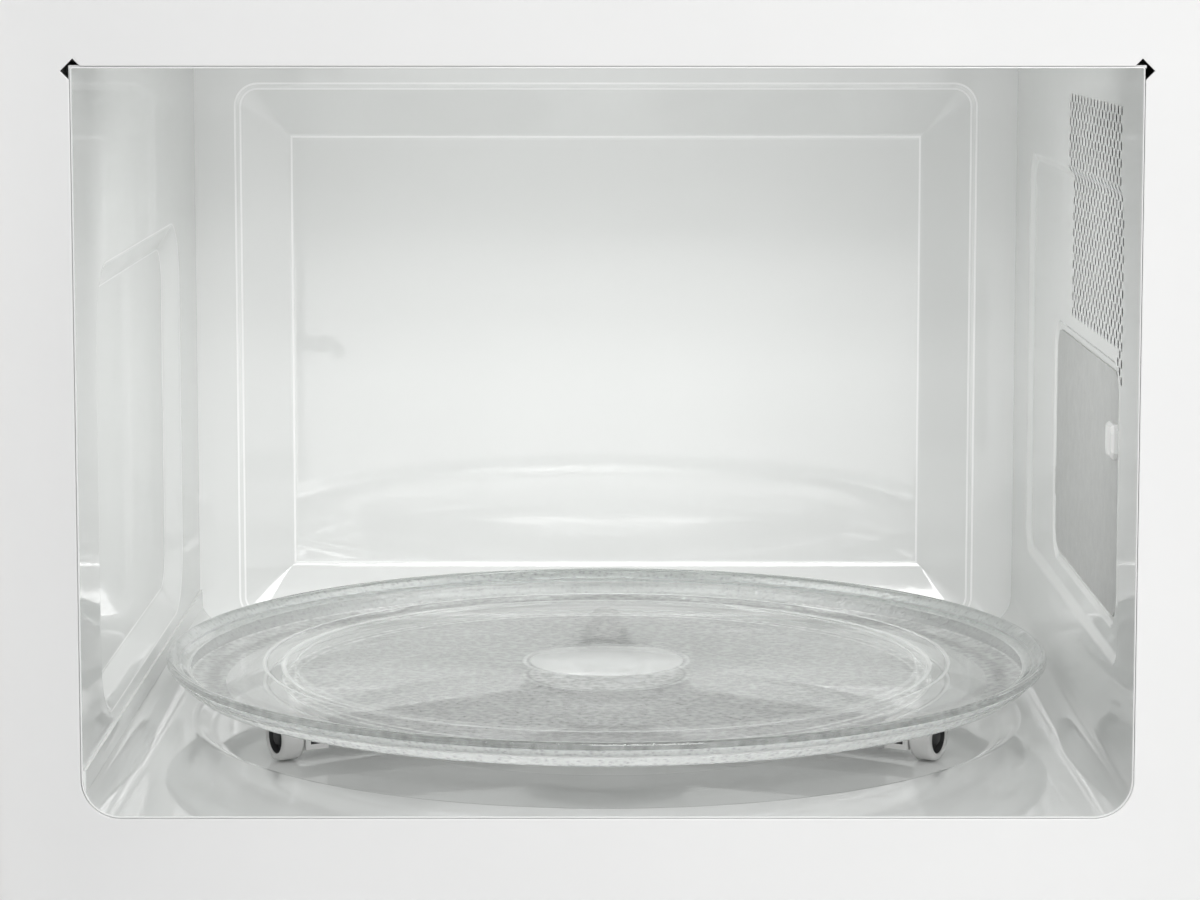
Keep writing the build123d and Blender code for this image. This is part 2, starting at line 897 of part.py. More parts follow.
# Magnetron anode: copper barrel, ring magnets, cooling fins and the antenna that reaches into the waveguide
barrel_start = guide_out + yoke_sheet
barrel_length = yoke_width - 2 * yoke_sheet
fin_zone = barrel_length - 2 * magnet_thickness
with BuildPart() as anode:
    barrel_foot = (barrel_start, antenna_y, guide_z)
    prism(barrel_foot, anode_radius, barrel_length, (1, 0, 0), anode_sides)
    for start in (barrel_start, barrel_start + barrel_length - magnet_thickness):
        prism((start, antenna_y, guide_z), magnet_radius, magnet_thickness, (1, 0, 0), anode_sides)
    for fin in range(fin_count):
        fin_x = barrel_start + magnet_thickness + fin_zone * (fin + 0.5) / fin_count
        block(
            (fin_x - fin_thickness / 2, fin_x + fin_thickness / 2),
            (yoke_y[0] + 2, yoke_y[1] - 2),
            (yoke_z[0] + yoke_sheet, yoke_z[1] - yoke_sheet),
        )
    prism(barrel_foot, antenna_radius, antenna_reach, (-1, 0, 0), anode_sides)
save(anode, "magnetron_anode")

# Transformer: laminated core with two windows, standing on its feet on the base plate
window_half = core_limb + core_window
with BuildPart() as transformer_core:
    with BuildSketch(at_depth(core_y - core_stack / 2)):
        with Locations((core_x, base_top + core_height / 2)):
            Rectangle(core_width, core_height)
            with GridLocations(2 * core_limb + core_window, 0, 2, 1):
                Rectangle(core_window, core_height - 2 * core_limb, mode=Mode.SUBTRACT)
    extrude(amount=-core_stack)
    block(
        (core_x - core_width / 2 - core_foot, core_x + core_width / 2 + core_foot),
        (core_y - core_stack / 2, core_y + core_stack / 2),
        (base_top, base_top + 2),
    )
save(transformer_core, "transformer_core")

coil_low = base_top + core_limb + coil_gap
coil_high = base_top + core_height - core_limb - coil_gap
with BuildPart() as windings:
    with BuildSketch(at_height(coil_low)):
        with Locations((core_x, core_y)):
            RectangleRounded(2 * (window_half - coil_gap), core_stack + 2 * coil_overhang, 10)
            Rectangle(2 * core_limb, core_stack, mode=Mode.SUBTRACT)
    extrude(amount=coil_high - coil_low)
    coil_split = (coil_low + coil_high) / 2
    for side in (-1, 1):
        end_y = core_y + side * (core_stack / 2 + coil_overhang)
        block(
            (core_x - window_half, core_x + window_half),
            (end_y - 2, end_y + 2),
            (coil_split - 1, coil_split + 1),
            Mode.SUBTRACT,
        )
save(windings, "transformer_windings")

# High-voltage capacitor: an oval can lying on the base plate, with two terminals
can_z = base_top + can_height / 2
with BuildPart() as capacitor:
    with BuildSketch(at_depth(can_front)):
        with Locations((can_x, can_z)):
            SlotOverall(can_width, can_height)
    extrude(amount=-can_length)
    for side in (-1, 1):
        middle = can_x + side * can_width / 5
        block(
            (middle - diode_radius, middle + diode_radius),
            (can_front - terminal_length, can_front),
            (can_z - diode_radius, can_z + diode_radius),
        )
save(capacitor, "hv_capacitor")

# High-voltage diode, from a capacitor terminal down to the base plate
diode_y = can_front - terminal_length / 2
diode_x = can_x - can_width / 5
diode_top = can_z - diode_radius
with BuildPart() as diode:
    for reach, low, high in (
        (diode_lead, base_top, diode_top),
        (diode_radius, base_top + 1.5, min(base_top + diode_length, diode_top)),
    ):
        with BuildSketch(at_height(low)):
            with Locations((diode_x, diode_y)):
                RegularPolygon(reach, 8)
        extrude(amount=high - low)
save(diode, "hv_diode")

# Fan shroud: a square tunnel from the back plate with a round mouth
mouth_radius = fan_radius + fan_tip_gap
with BuildPart() as shroud:
    with BuildSketch(at_depth(fan_front)):
        with Locations((fan_x, fan_z)):
            Rectangle(shroud_side, shroud_side)
    extrude(amount=-(cavity_depth - fan_front))
    with BuildSketch(at_depth(fan_front + fan_width)):
        with Locations((fan_x, fan_z)):
            Rectangle(shroud_side - 2 * shroud_wall, shroud_side - 2 * shroud_wall)
    extrude(amount=-(cavity_depth - fan_front - fan_width), mode=Mode.SUBTRACT)
    with BuildSketch(at_depth(fan_front)):
        with Locations((fan_x, fan_z)):
            Rectangle(shroud_side - 2 * shroud_wall, shroud_side - 2 * shroud_wall)
            RegularPolygon(mouth_radius + shroud_wall, mouth_sides, mode=Mode.SUBTRACT)
    extrude(amount=-(fan_width - shroud_wall), mode=Mode.SUBTRACT)
    mouth_foot = (fan_x, fan_front - fan_width, fan_z)
    prism(mouth_foot, mouth_radius, 3 * fan_width, (0, 1, 0), mouth_sides, Mode.SUBTRACT)
save(shroud, "fan_shroud")

# Fan motor: a shaded-pole core with its coil, on two posts from the back plate
core_front = motor_core_front
core_back = motor_core_front + motor_core_stack
with BuildPart() as fan_motor:
    with BuildSketch(at_depth(core_front)):
        with Locations((fan_x, fan_z)):
            Rectangle(motor_core_width, motor_core_height)
    extrude(amount=-motor_core_stack)
    block(
        (fan_x - motor_coil_half, fan_x + motor_coil_half),
        (core_front - motor_coil_stand, core_back + motor_coil_stand),
        (fan_z - motor_core_height / 2 - motor_coil_drop, fan_z - motor_core_height / 2 + motor_coil_rise),
    )
    for side in (-1, 1):
        post_x = fan_x + side * motor_post_x
        block(
            (post_x - motor_post_half, post_x + motor_post_half),
            (core_back, cavity_depth),
            (fan_z + motor_post_low, fan_z + motor_post_low + 2 * motor_post_half),
        )
    bearing = (fan_x, core_front, fan_z)
    rod(bearing, motor_bearing_radius, 2 * motor_bearing_stand, along_y)
    rod(bearing, fan_shaft_radius + running, 2 * motor_bore_depth, along_y, Mode.SUBTRACT)
save(fan_motor, "fan_motor")

# Fan blade: pitched blades on a hub, with its shaft in the motor's bearing
hub_y = fan_front + fan_width / 2
fan_plane = Plane(origin=(fan_x, hub_y, fan_z), x_dir=(1, 0, 0), z_dir=(0, -1, 0))
with BuildPart(mode=Mode.PRIVATE) as one_blade:
    with BuildSketch(Plane.XY.rotated((fan_pitch, 0, 0))):
        with BuildLine():
            Polyline(
                (fan_hub_radius - 2, -8),
                (fan_radius * 0.72, -19),
                (fan_radius - 3, -14),
                (fan_radius - 2, 3),
                (fan_radius * 0.78, 13),
                (fan_hub_radius - 2, 8),
                close=True,
            )
        make_face()
    extrude(amount=fan_blade_thickness / 2, both=True)
with BuildPart(fan_plane) as fan_blade:
    hub_foot = (fan_x, hub_y + fan_width / 2 - 2, fan_z)
    prism(hub_foot, fan_hub_radius, fan_width - 4, (0, -1, 0), fan_hub_sides)
    with PolarLocations(0, fan_blades):
        add(one_blade.part)
    with Locations((0, 0, -fan_width / 2)):
        Cylinder(fan_shaft_radius, 2 * (core_front - hub_y + 13 - fan_width / 2))
save(fan_blade, "fan_blade")

# Air duct: takes the air from the magnetron to the vent holes of the right wall
duct_x = cavity_right + right_panel_depth + sheet
duct_z = (cavity_floor + duct_low, cavity_top - duct_drop)
duct_side = (duct_x, duct_x + duct_reach)
duct_y = (duct_front, duct_back)
inlet_foot = cavity_floor + inlet_low
lamp_x = duct_x + duct_reach / 2
lamp_z = cavity_top - lamp_drop
with BuildPart() as air_duct:
    block(duct_side, duct_y, duct_z)
    with BuildSketch(at_depth(inlet_front)):
        Polygon(
            (duct_side[1] - duct_wall, duct_z[0]),
            (inlet_left, duct_z[0]),
            (inlet_left, inlet_foot),
            (inlet_right, inlet_foot),
            (inlet_right, duct_z[1]),
            (duct_side[1] - duct_wall, duct_z[1]),
            align=None,
        )
    extrude(amount=-(inlet_back - inlet_front))
    block(
        (duct_side[0] - 1, duct_side[1] - duct_wall),
        (duct_y[0] + duct_wall, duct_y[1] - duct_wall),
        (duct_z[0] + duct_wall, duct_z[1] - duct_wall),
        Mode.SUBTRACT,
    )
    with BuildSketch(at_depth(inlet_front + duct_wall)):
        Polygon(
            (duct_side[1] - 2 * duct_wall, duct_z[0] + duct_wall),
            (inlet_left + duct_wall, duct_z[0] + duct_wall),
            (inlet_left + duct_wall, inlet_foot + duct_wall),
            (inlet_right - duct_wall, inlet_foot + duct_wall),
            (inlet_right - duct_wall, duct_z[1] - duct_wall),
            (duct_side[1] - 2 * duct_wall, duct_z[1] - duct_wall),
            align=None,
        )
    extrude(amount=-(inlet_back - inlet_front - 2 * duct_wall), mode=Mode.SUBTRACT)
    block(
        (inlet_left + duct_wall, inlet_right - duct_wall),
        (inlet_back - 2 * duct_wall, inlet_back + 1),
        (inlet_foot + duct_wall, guide_z + yoke_height / 2),
        Mode.SUBTRACT,
    )
    rod((lamp_x, duct_back, lamp_z), lamp_cap_radius + 1, 6 * duct_wall, along_y, Mode.SUBTRACT)
save(air_duct, "air_duct")

# Lamp holder on the rear of the duct, and the oven lamp that reaches into the duct
with BuildPart() as lamp_holder:
    half = holder_side / 2
    block(
        (lamp_x - half, lamp_x + half),
        (duct_back, duct_back + holder_length),
        (lamp_z - half, lamp_z + half),
    )
    chamfer(lamp_holder.edges().filter_by(Axis.Y), holder_corner)
    socket_middle = (lamp_x, duct_back + lamp_cap_length / 2 - 1, lamp_z)
    rod(socket_middle, lamp_cap_radius + 2 * running, lamp_cap_length + 2, along_y, Mode.SUBTRACT)
save(lamp_holder, "lamp_holder")

with BuildPart() as lamp:
    cap_back = (lamp_x, duct_back + lamp_cap_length, lamp_z)
    prism(cap_back, lamp_cap_radius, lamp_cap_length + lamp_neck, (0, -1, 0), lamp_sides)
    bulb_back = (lamp_x, duct_back - lamp_neck, lamp_z)
    prism(bulb_back, lamp_radius, lamp_length - lamp_neck, (0, -1, 0), lamp_sides)
    chamfer(lamp.faces().sort_by(Axis.Y)[0].edges(), lamp_radius / 3)
save(lamp, "oven_lamp")

# Turntable motor under the floor, hung from two ears
motor_top = well_z - sheet
with BuildPart() as turntable_motor:
    with BuildSketch(at_height(motor_top)):
        with Locations((cavity_x, tray_y)):
            RegularPolygon(turntable_motor_radius, motor_sides)
            Rectangle(2 * motor_ear_reach, 11)
            with GridLocations(2 * motor_ear_reach - 9, 0, 2, 1):
                Rectangle(3, 5, mode=Mode.SUBTRACT)
    extrude(amount=-2)
    with BuildSketch(at_height(motor_top - 2)):
        with Locations((cavity_x, tray_y)):
            RegularPolygon(turntable_motor_radius, motor_sides)
    extrude(amount=-(turntable_motor_height - 2))
    chamfer(turntable_motor.faces().sort_by(Axis.Z)[0].edges(), 1.5)
    bore_depth = 2 * (turntable_motor_height - 5)
    rod((cavity_x, tray_y, motor_top), shaft_radius + running, bore_depth, upright, Mode.SUBTRACT)
save(turntable_motor, "turntable_motor")

# Motor shaft with its drive flat, and the three-winged coupler on it
shaft_low = motor_top - (turntable_motor_height - 5) + gap
shaft_high = cavity_floor + shaft_top
with BuildPart() as motor_shaft:
    with BuildSketch(at_height(shaft_low)):
        with Locations((cavity_x, tray_y)):
            Circle(shaft_radius)
    extrude(amount=shaft_high - shaft_low)
    block(
        (cavity_x + shaft_flat, cavity_x + 2 * shaft_radius),
        (tray_y - shaft_radius, tray_y + shaft_radius),
        (cavity_floor, shaft_high + 1),
        Mode.SUBTRACT,
    )
save(motor_shaft, "motor_shaft")

glass_under = cavity_floor + tray_underside
coupler_base = well_z + 1.0
coupler_top = glass_under - 2 * gap
with BuildPart() as coupler:
    with BuildSketch(at_height(coupler_base)):
        with Locations((cavity_x, tray_y)):
            RegularPolygon(coupler_radius, coupler_sides)
    extrude(amount=shaft_high - coupler_base)
    for wing in range(3):
        with BuildSketch(at_height(cavity_floor)):
            with Locations(Location((cavity_x, tray_y), 120 * wing)):
                Rectangle(coupler_wing_reach, coupler_wing, align=(Align.MIN, Align.CENTER))
        extrude(amount=coupler_top - cavity_floor)
    with BuildSketch(at_height(coupler_base - 1)):
        with Locations((cavity_x, tray_y)):
            Circle(shaft_radius)
        with Locations((cavity_x + shaft_flat, tray_y)):
            Rectangle(
                2 * shaft_radius, 2 * shaft_radius, align=(Align.MIN, Align.CENTER), mode=Mode.SUBTRACT
            )
    extrude(amount=shaft_high - coupler_base + 1, mode=Mode.SUBTRACT)
    with BuildSketch(at_height(coupler_base - 1)):
        with Locations((cavity_x, tray_y)):
            Circle(shaft_radius)
    extrude(amount=cavity_floor - coupler_base + 1, mode=Mode.SUBTRACT)
save(coupler, "drive_coupler")

# Roller ring: a hub with three ribbed arms, each ending in a block and an axle stub with a snap head
wheel_z = (track_z + glass_under) / 2
wheel_radius = (glass_under - track_z) / 2 - wheel_gap
wheel_inner = track_radius - wheel_width / 2
wheel_outer = track_radius + wheel_width / 2
block_outer = wheel_inner - gap
block_inner = block_outer - arm_block_length
axle_end = wheel_outer - 0.4
snap_start = wheel_outer - hub_recess_depth + gap
hub_low = wheel_z - ring_hub_height / 2
with BuildPart() as roller_ring:
    with BuildSketch(at_height(hub_low)):
        with Locations((cavity_x, tray_y)):
            RegularPolygon(ring_hub_radius, ring_sides)
    extrude(amount=ring_hub_height)
    for arm in range(wheel_count):
        heading = 90 + 360 / wheel_count * arm
        arm_place = Location((cavity_x, tray_y), heading)
        with BuildSketch(at_height(hub_low)):
            with Locations(arm_place):
                Polygon(
                    (0, -arm_width_hub / 2),
                    (block_outer, -arm_width_end / 2),
                    (block_outer, arm_width_end / 2),
                    (0, arm_width_hub / 2),
                    align=None,
                )
        extrude(amount=arm_thickness)
        with BuildSketch(at_height(hub_low)):
            with Locations(arm_place):
                for side in (-1, 1):
                    Polygon(
                        (0, side * arm_width_hub / 2),
                        (block_outer, side * arm_width_end / 2),
                        (block_outer, side * (arm_width_end / 2 - arm_rib)),
                        (0, side * (arm_width_hub / 2 - arm_rib)),
                        align=None,
                    )
        extrude(amount=arm_thickness + arm_rib_height)
        with BuildSketch(at_height(hub_low)):
            with Locations(arm_place):
                with Locations(((block_inner + block_outer) / 2, 0)):
                    Rectangle(arm_block_length, arm_width_end)
        extrude(amount=ring_hub_height + 1.5)
        out = Vector(cos(radians(heading)), sin(radians(heading)), 0)
        middle = Vector(cavity_x, tray_y, wheel_z)
        with BuildSketch(Plane(origin=middle + out * (block_outer - 1), z_dir=out)):
            Circle(axle_radius)
        extrude(amount=axle_end - block_outer + 1)
        with BuildSketch(Plane(origin=middle + out * snap_start, z_dir=out)):
            RegularPolygon(axle_radius + axle_snap, snap_sides)
        extrude(amount=axle_end - snap_start)
    with BuildSketch(at_height(hub_low - 1)):
        with Locations((cavity_x, tray_y)):
            RegularPolygon(ring_bore_radius, ring_sides)
    extrude(amount=ring_hub_height + arm_width_hub, mode=Mode.SUBTRACT)
save(roller_ring, "roller_ring")

# Roller wheels on the axle stubs, each with a recess round the snap head
for number in range(wheel_count):
    heading = 90 + 360 / wheel_count * number
    out = Vector(cos(radians(heading)), sin(radians(heading)), 0)
    middle = Vector(cavity_x, tray_y, wheel_z)
    with BuildPart() as wheel:
        with BuildSketch(Plane(origin=middle + out * wheel_inner, z_dir=out)):
            Circle(wheel_radius)
            Circle(axle_radius + running, mode=Mode.SUBTRACT)
        extrude(amount=wheel_width)
        with BuildSketch(Plane(origin=middle + out * wheel_outer, z_dir=out)):
            RegularPolygon(hub_recess_radius, snap_sides)
        extrude(amount=-hub_recess_depth, mode=Mode.SUBTRACT)
    save(wheel, f"roller_wheel_{number + 1}")

# Glass tray: turned profile with a raised rim, and three driving lugs under its middle
with BuildPart() as glass_tray:
    with BuildSketch(at_depth(tray_y)):
        with BuildLine():
            outline = Polyline(
                (0, glass_under),
                (tray_radius - 14.0, glass_under),
                (tray_radius - 6.0, glass_under + 1.2),
                (tray_radius, glass_under + 7.0),
                (tray_radius, glass_under + tray_rim),
                (tray_radius - 2.5, glass_under + tray_rim),
                (tray_radius - tray_slope, glass_under + tray_plate + tray_step),
                (tray_plateau, glass_under + tray_plate + tray_step),
                (tray_plateau - tray_ridge, glass_under + tray_plate),
                (0, glass_under + tray_plate),
                close=True,
            )
        make_face()
    glass_profile = glass_tray.pending_faces[0]
    glass_tray.pending_faces.clear()
    glass_tray.pending_face_planes.clear()
    revolve(glass_profile.moved(Location((cavity_x, 0, 0))), axis=tray_axis)
    for lug in range(3):
        with BuildSketch(at_height(glass_under - tray_lug_height)):
            with Locations(Location((cavity_x, tray_y), 60 + 120 * lug)):
                with Locations(((tray_lug_inner + tray_lug_outer) / 2, 0)):
                    Rectangle(tray_lug_outer - tray_lug_inner, tray_lug_width)
        extrude(amount=tray_lug_height + 1)
save(glass_tray, "glass_tray")

# Mains filter board on standoffs from the back plate
board_back = cavity_depth - filter_standoff
with BuildPart() as filter_board:
    with BuildSketch(at_depth(board_back - board_thickness)):
        with Locations((filter_x, filter_z)):
            Rectangle(filter_width, filter_height)
    extrude(amount=-board_thickness)
    with BuildSketch(at_depth(board_back)):
        with Locations((filter_x, filter_z)):
            with GridLocations(filter_width - 10, filter_height - 10, 2, 2):
                Rectangle(5, 5)
    extrude(amount=-filter_standoff)
    with BuildSketch(at_depth(board_back - board_thickness)):
        with Locations((filter_x - 20, filter_z)):
            RegularPolygon(13, 12)
            RegularPolygon(6, 8, mode=Mode.SUBTRACT)
        with Locations((filter_x + 20, filter_z + 12)):
            Rectangle(26, 14)
        with Locations((filter_x + 20, filter_z - 14)):
            Rectangle(30, 9)
    extrude(amount=14)
save(filter_board, "filter_board")

# Front frame: a moulded frame, hollow behind, with four tubes for the screws into the cabinet
frame_front = -frame_depth
with BuildPart() as front_frame:
    with BuildSketch(at_depth(frame_front)):
        with Locations((0, frame_mid_z)):
            Rectangle(frame_width, frame_height)
            Rectangle(2 * aperture_side, aperture_high - aperture_low, mode=Mode.SUBTRACT)
    extrude(amount=-frame_depth)
    long_edges = front_frame.edges().filter_by(Axis.Y)
    chamfer(long_edges.group_by(Axis.X)[0] + long_edges.group_by(Axis.X)[-1], frame_corner)
    front_edges = front_frame.faces().sort_by(Axis.Y)[0].outer_wire().edges()
    chamfer(front_edges, frame_edge)
    with BuildSketch(at_depth(0)):
        with Locations((0, frame_mid_z)):
            Rectangle(frame_width - 2 * wall, frame_height - 2 * wall)
            Rectangle(
                2 * (aperture_side + wall), aperture_high - aperture_low + 2 * wall, mode=Mode.SUBTRACT
            )
    extrude(amount=frame_depth - wall, mode=Mode.SUBTRACT)
    with BuildSketch(at_depth(0)):
        with Locations((0, frame_mid_z)):
            with GridLocations(2 * cabinet_screw_x, cabinet_screw_spread, 2, 2):
                Rectangle(2 * cabinet_boss, 2 * cabinet_boss)
    extrude(amount=frame_depth - wall)
    with BuildSketch(at_depth(1)):
        with Locations((0, frame_mid_z)):
            with GridLocations(2 * cabinet_screw_x, cabinet_screw_spread, 2, 2):
                Circle(cabinet_hole_radius)
    extrude(amount=frame_depth + 2, mode=Mode.SUBTRACT)
    block(
        (-casing_side - gap, casing_side + gap),
        (-frame_relief, 1),
        (frame_low - 1, frame_low + 2 * wall),
        Mode.SUBTRACT,
    )
save(front_frame, "front_frame")

# Interlock bracket behind the front plate: keepers for the two hooks, seats for the switches and
# bearings for the lever
web_left = bracket_right - wall
hook_tip_y = hook_reach - plate_gap
keeper_back = hook_tip_y - barb_length - gap
ear_left = (bracket_left + 2.5, bracket_left + 5.5)
plunger_front = hook_tip_y + gap
switch_front = plunger_front + plunger_stand
switch_seats = (
    (hook_low_z, hook_low_z + switch_length, hook_low_z + plunger_inset),
    (hook_high_z - switch_length, hook_high_z, hook_high_z - plunger_inset),
    (hook_high_z, hook_high_z + switch_length, hook_high_z + plunger_inset),
)
switch_right = hook_x + hook_thickness / 2 + 1
switch_left = switch_right - switch_width
with BuildPart() as interlock_bracket:
    block((bracket_left, bracket_right), (sheet, sheet + wall), (bracket_low, bracket_high))
    block((web_left, bracket_right), (sheet + wall, bracket_depth), (bracket_low, bracket_high))
    for hook_z in (hook_low_z, hook_high_z):
        block(
            (hook_x - hook_slot_width / 2, hook_x + hook_slot_width / 2),
            (0, 2 * wall),
            (
                hook_z + hook_slot_shift - hook_slot_height / 2,
                hook_z + hook_slot_shift + hook_slot_height / 2,
            ),
            Mode.SUBTRACT,
        )
        keeper_top = hook_z - hook_height / 2 + barb_drop - 2 * gap
        block(
            (hook_x - hook_thickness, web_left),
            (sheet + wall, keeper_back),
            (keeper_top - 2 * wall, keeper_top),
        )
    for low, high, place in switch_seats:
        block((switch_right, web_left), (switch_front + 2, bracket_depth), (low + 3, high - 3))
    for span in (ear_left, (web_left - 2 * wall, web_left)):
        block(
            span,
            (sheet + wall, pivot_y + lever_hub + 2),
            (pivot_z - lever_hub - 2, pivot_z + lever_hub + 2),
        )
    bar = (bracket_left + bracket_right) / 2
    rod((bar, pivot_y, pivot_z), pivot_radius + running, 2 * bracket_depth, along_x, Mode.SUBTRACT)
save(interlock_bracket, "interlock_bracket")

# Interlock switches and their plungers
plunger_end = switch_front + 2
bore_end = plunger_end + plunger_travel + gap
with BuildPart() as switches:
    for low, high, place in switch_seats:
        block((switch_left, switch_right), (switch_front, switch_front + switch_depth), (low, high - gap))
        bore = plunger_half + running
        block(
            (hook_x - bore, hook_x + bore),
            (switch_front, bore_end),
            (place - bore, place + bore),
            Mode.SUBTRACT,
        )
save(switches, "interlock_switches")

with BuildPart() as plungers:
    for low, high, place in switch_seats:
        block(
            (hook_x - plunger_half, hook_x + plunger_half),
            (plunger_front, plunger_end),
            (place - plunger_half, place + plunger_half),
        )
save(plungers, "switch_plungers")

# Hinge brackets: bent steel, each leg behind the front plate and each ear through its slot
with BuildPart() as hinge_brackets:
    for ear_z, leg_to in ((ear_low_z, ear_low_z + bracket_leg), (ear_high_z, ear_high_z - bracket_leg)):
        with BuildSketch(at_height(ear_z)):
            with Locations((hinge_x, hinge_y)):
                Circle(ear_radius)
            with Locations((hinge_x, (hinge_y + sheet) / 2)):
                Rectangle(2 * ear_radius, sheet - hinge_y)
            with Locations((hinge_x, hinge_y)):
                Circle(pin_radius, mode=Mode.SUBTRACT)
        extrude(amount=ear_thickness)
        leg_z = sorted((ear_z + ear_thickness / 2, leg_to))
        block((hinge_x - 12, hinge_x + 20), (sheet, sheet + ear_thickness), leg_z)
        block(
            (hinge_x - ear_radius, hinge_x + ear_radius),
            (sheet, sheet + ear_thickness),
            (ear_z, ear_z + ear_thickness),
        )
save(hinge_brackets, "hinge_brackets")

# Hinge pins, riveted in the ears. The lower one has a collar under the door
pocket_low = ear_low_z + ear_thickness + pocket_clearance
pocket_high = ear_high_z - pocket_clearance
pocket_wall_low = pocket_low + wall
pocket_wall_high = pocket_high - wall
pin_low_top = pocket_wall_low + tab_thickness + 2.5
pin_high_bottom = pocket_wall_high - tab_thickness - 2.5
with BuildPart() as hinge_pins:
    with BuildSketch(Plane.XZ.offset(-hinge_y)):
        with BuildLine():
            Polyline(
                (hinge_x, ear_low_z),
                (hinge_x + pin_radius, ear_low_z),
                (hinge_x + pin_radius, ear_low_z + ear_thickness),
                (hinge_x + pin_collar, ear_low_z + ear_thickness),
                (hinge_x + pin_collar, pocket_low - gap),
                (hinge_x + pin_radius, pocket_low - gap),
                (hinge_x + pin_radius, pin_low_top),
                (hinge_x, pin_low_top),
                close=True,
            )
        make_face()
        with BuildLine():
            Polyline(
                (hinge_x, pin_high_bottom),
                (hinge_x + pin_radius, pin_high_bottom),
                (hinge_x + pin_radius, ear_high_z + ear_thickness),
                (hinge_x + pin_collar, ear_high_z + ear_thickness),
                (hinge_x + pin_collar, ear_high_z + ear_thickness + pin_head),
                (hinge_x, ear_high_z + ear_thickness + pin_head),
                close=True,
            )
        make_face()
    revolve(axis=Axis((hinge_x, hinge_y, 0), (0, 0, 1)))
save(hinge_pins, "hinge_pins")

# Door frame: a moulded shell round the window, with a rounded hinge side and a pocket for each hinge ear
round_radius = -door_inner
round_start = sqrt(round_radius**2 - hinge_inset**2)
inner_round = round_radius - door_wall
inner_side = hinge_inset - door_wall
inner_start = sqrt(inner_round**2 - inner_side**2)
arc_turn = atan2(hinge_inset, round_start) / 2
inner_turn = atan2(inner_side, inner_start) / 2
inner_front = -(hinge_setback - door_front_wall)
pocket_side = pocket_reach + door_wall
bar_front = hinge_setback - door_front_wall - latch_bar_setback
choke_back = door_inner + choke_depth
choke_across = seal_width + 2 * choke_width
choke_upward = seal_height + 2 * choke_width
spring_low = hook_high_z + latch_bar_overrun
spring_high = spring_low + latch_spring_length
with BuildPart(door_face(0)) as door_frame:
    with BuildSketch(door_section(door_low)):
        with BuildLine():
            Polyline(
                (-hinge_inset, round_start),
                (-hinge_inset, -hinge_setback),
                (door_span, -hinge_setback),
                (door_span, round_radius),
                (0, round_radius),
            )
            ThreePointArc(
                (0, round_radius),
                (-round_radius * sin(arc_turn), round_radius * cos(arc_turn)),
                (-hinge_inset, round_start),
            )
        make_face()
    extrude(amount=door_high - door_low)
    leaf_front = Axis(tuple(hinge_foot), tuple(door_out))
    chamfer(door_frame.faces().sort_by(leaf_front)[-1].edges(), door_edge)
    with BuildSketch(door_section(door_low + door_wall)):
        with Locations((pocket_side, inner_front)):
            Rectangle(
                door_span - door_wall - pocket_side,
                2 * round_radius,
                align=(Align.MIN, Align.MIN),
            )
    extrude(amount=door_high - door_low - 2 * door_wall, mode=Mode.SUBTRACT)
    with BuildSketch(door_section(pocket_wall_low)):
        with BuildLine():
            Polyline(
                (-inner_side, inner_start),
                (-inner_side, inner_front),
                (pocket_side + 1, inner_front),
                (pocket_side + 1, round_radius + 1),
                (0, round_radius + 1),
                (0, inner_round),
            )
            ThreePointArc(
                (0, inner_round),
                (-inner_round * sin(inner_turn), inner_round * cos(inner_turn)),
                (-inner_side, inner_start),
            )
        make_face()
    extrude(amount=pocket_wall_high - pocket_wall_low, mode=Mode.SUBTRACT)
    for low, high in ((door_low - 1, pocket_low), (pocket_high, door_high + 1)):
        block(
            (-hinge_inset - 1, pocket_reach), (low, high), (door_inner - 1, -inner_front), Mode.SUBTRACT
        )
    for low, high in ((pocket_low, pocket_wall_low), (pocket_wall_high, pocket_high)):
        rod((0, (low + high) / 2, 0), pin_radius + gap, 3 * wall, along_y, Mode.SUBTRACT)
    with BuildSketch(door_face(hinge_setback)):
        with Locations((door_centre_u, door_centre_z)):
            cut_rectangle(window_width, window_height, window_corner)
    extrude(amount=-2 * door_front_wall, mode=Mode.SUBTRACT)
    with BuildSketch(door_face(-inner_front)):
        with Locations((door_centre_u, door_centre_z)):
            with GridLocations(door_boss_spread, seal_height + choke_width, 2, 2):
                Rectangle(2 * door_boss, 2 * door_boss)
    extrude(amount=choke_back + sheet + inner_front)
    for post_z in (hook_low_z + 35, hook_high_z - 35):
        rod((hook_u, post_z, -inner_front - 8), latch_post_radius, 16, upright)
    block(
        (hook_u - latch_bar_width / 2, hook_u + latch_bar_width / 2),
        (spring_high, spring_high + door_wall),
        (-inner_front - 16, -inner_front),
    )
save(door_frame, "door_frame")

# Outer glass of the door, behind the front of the door frame
with BuildPart() as outer_glass:
    with BuildSketch(door_face(-inner_front)):
        with Locations((door_centre_u, door_centre_z)):
            cut_rectangle(
                window_width + 2 * glass_overlap, window_height + 2 * glass_overlap, window_corner
            )
    extrude(amount=-glass_thickness)
save(outer_glass, "door_outer_glass")

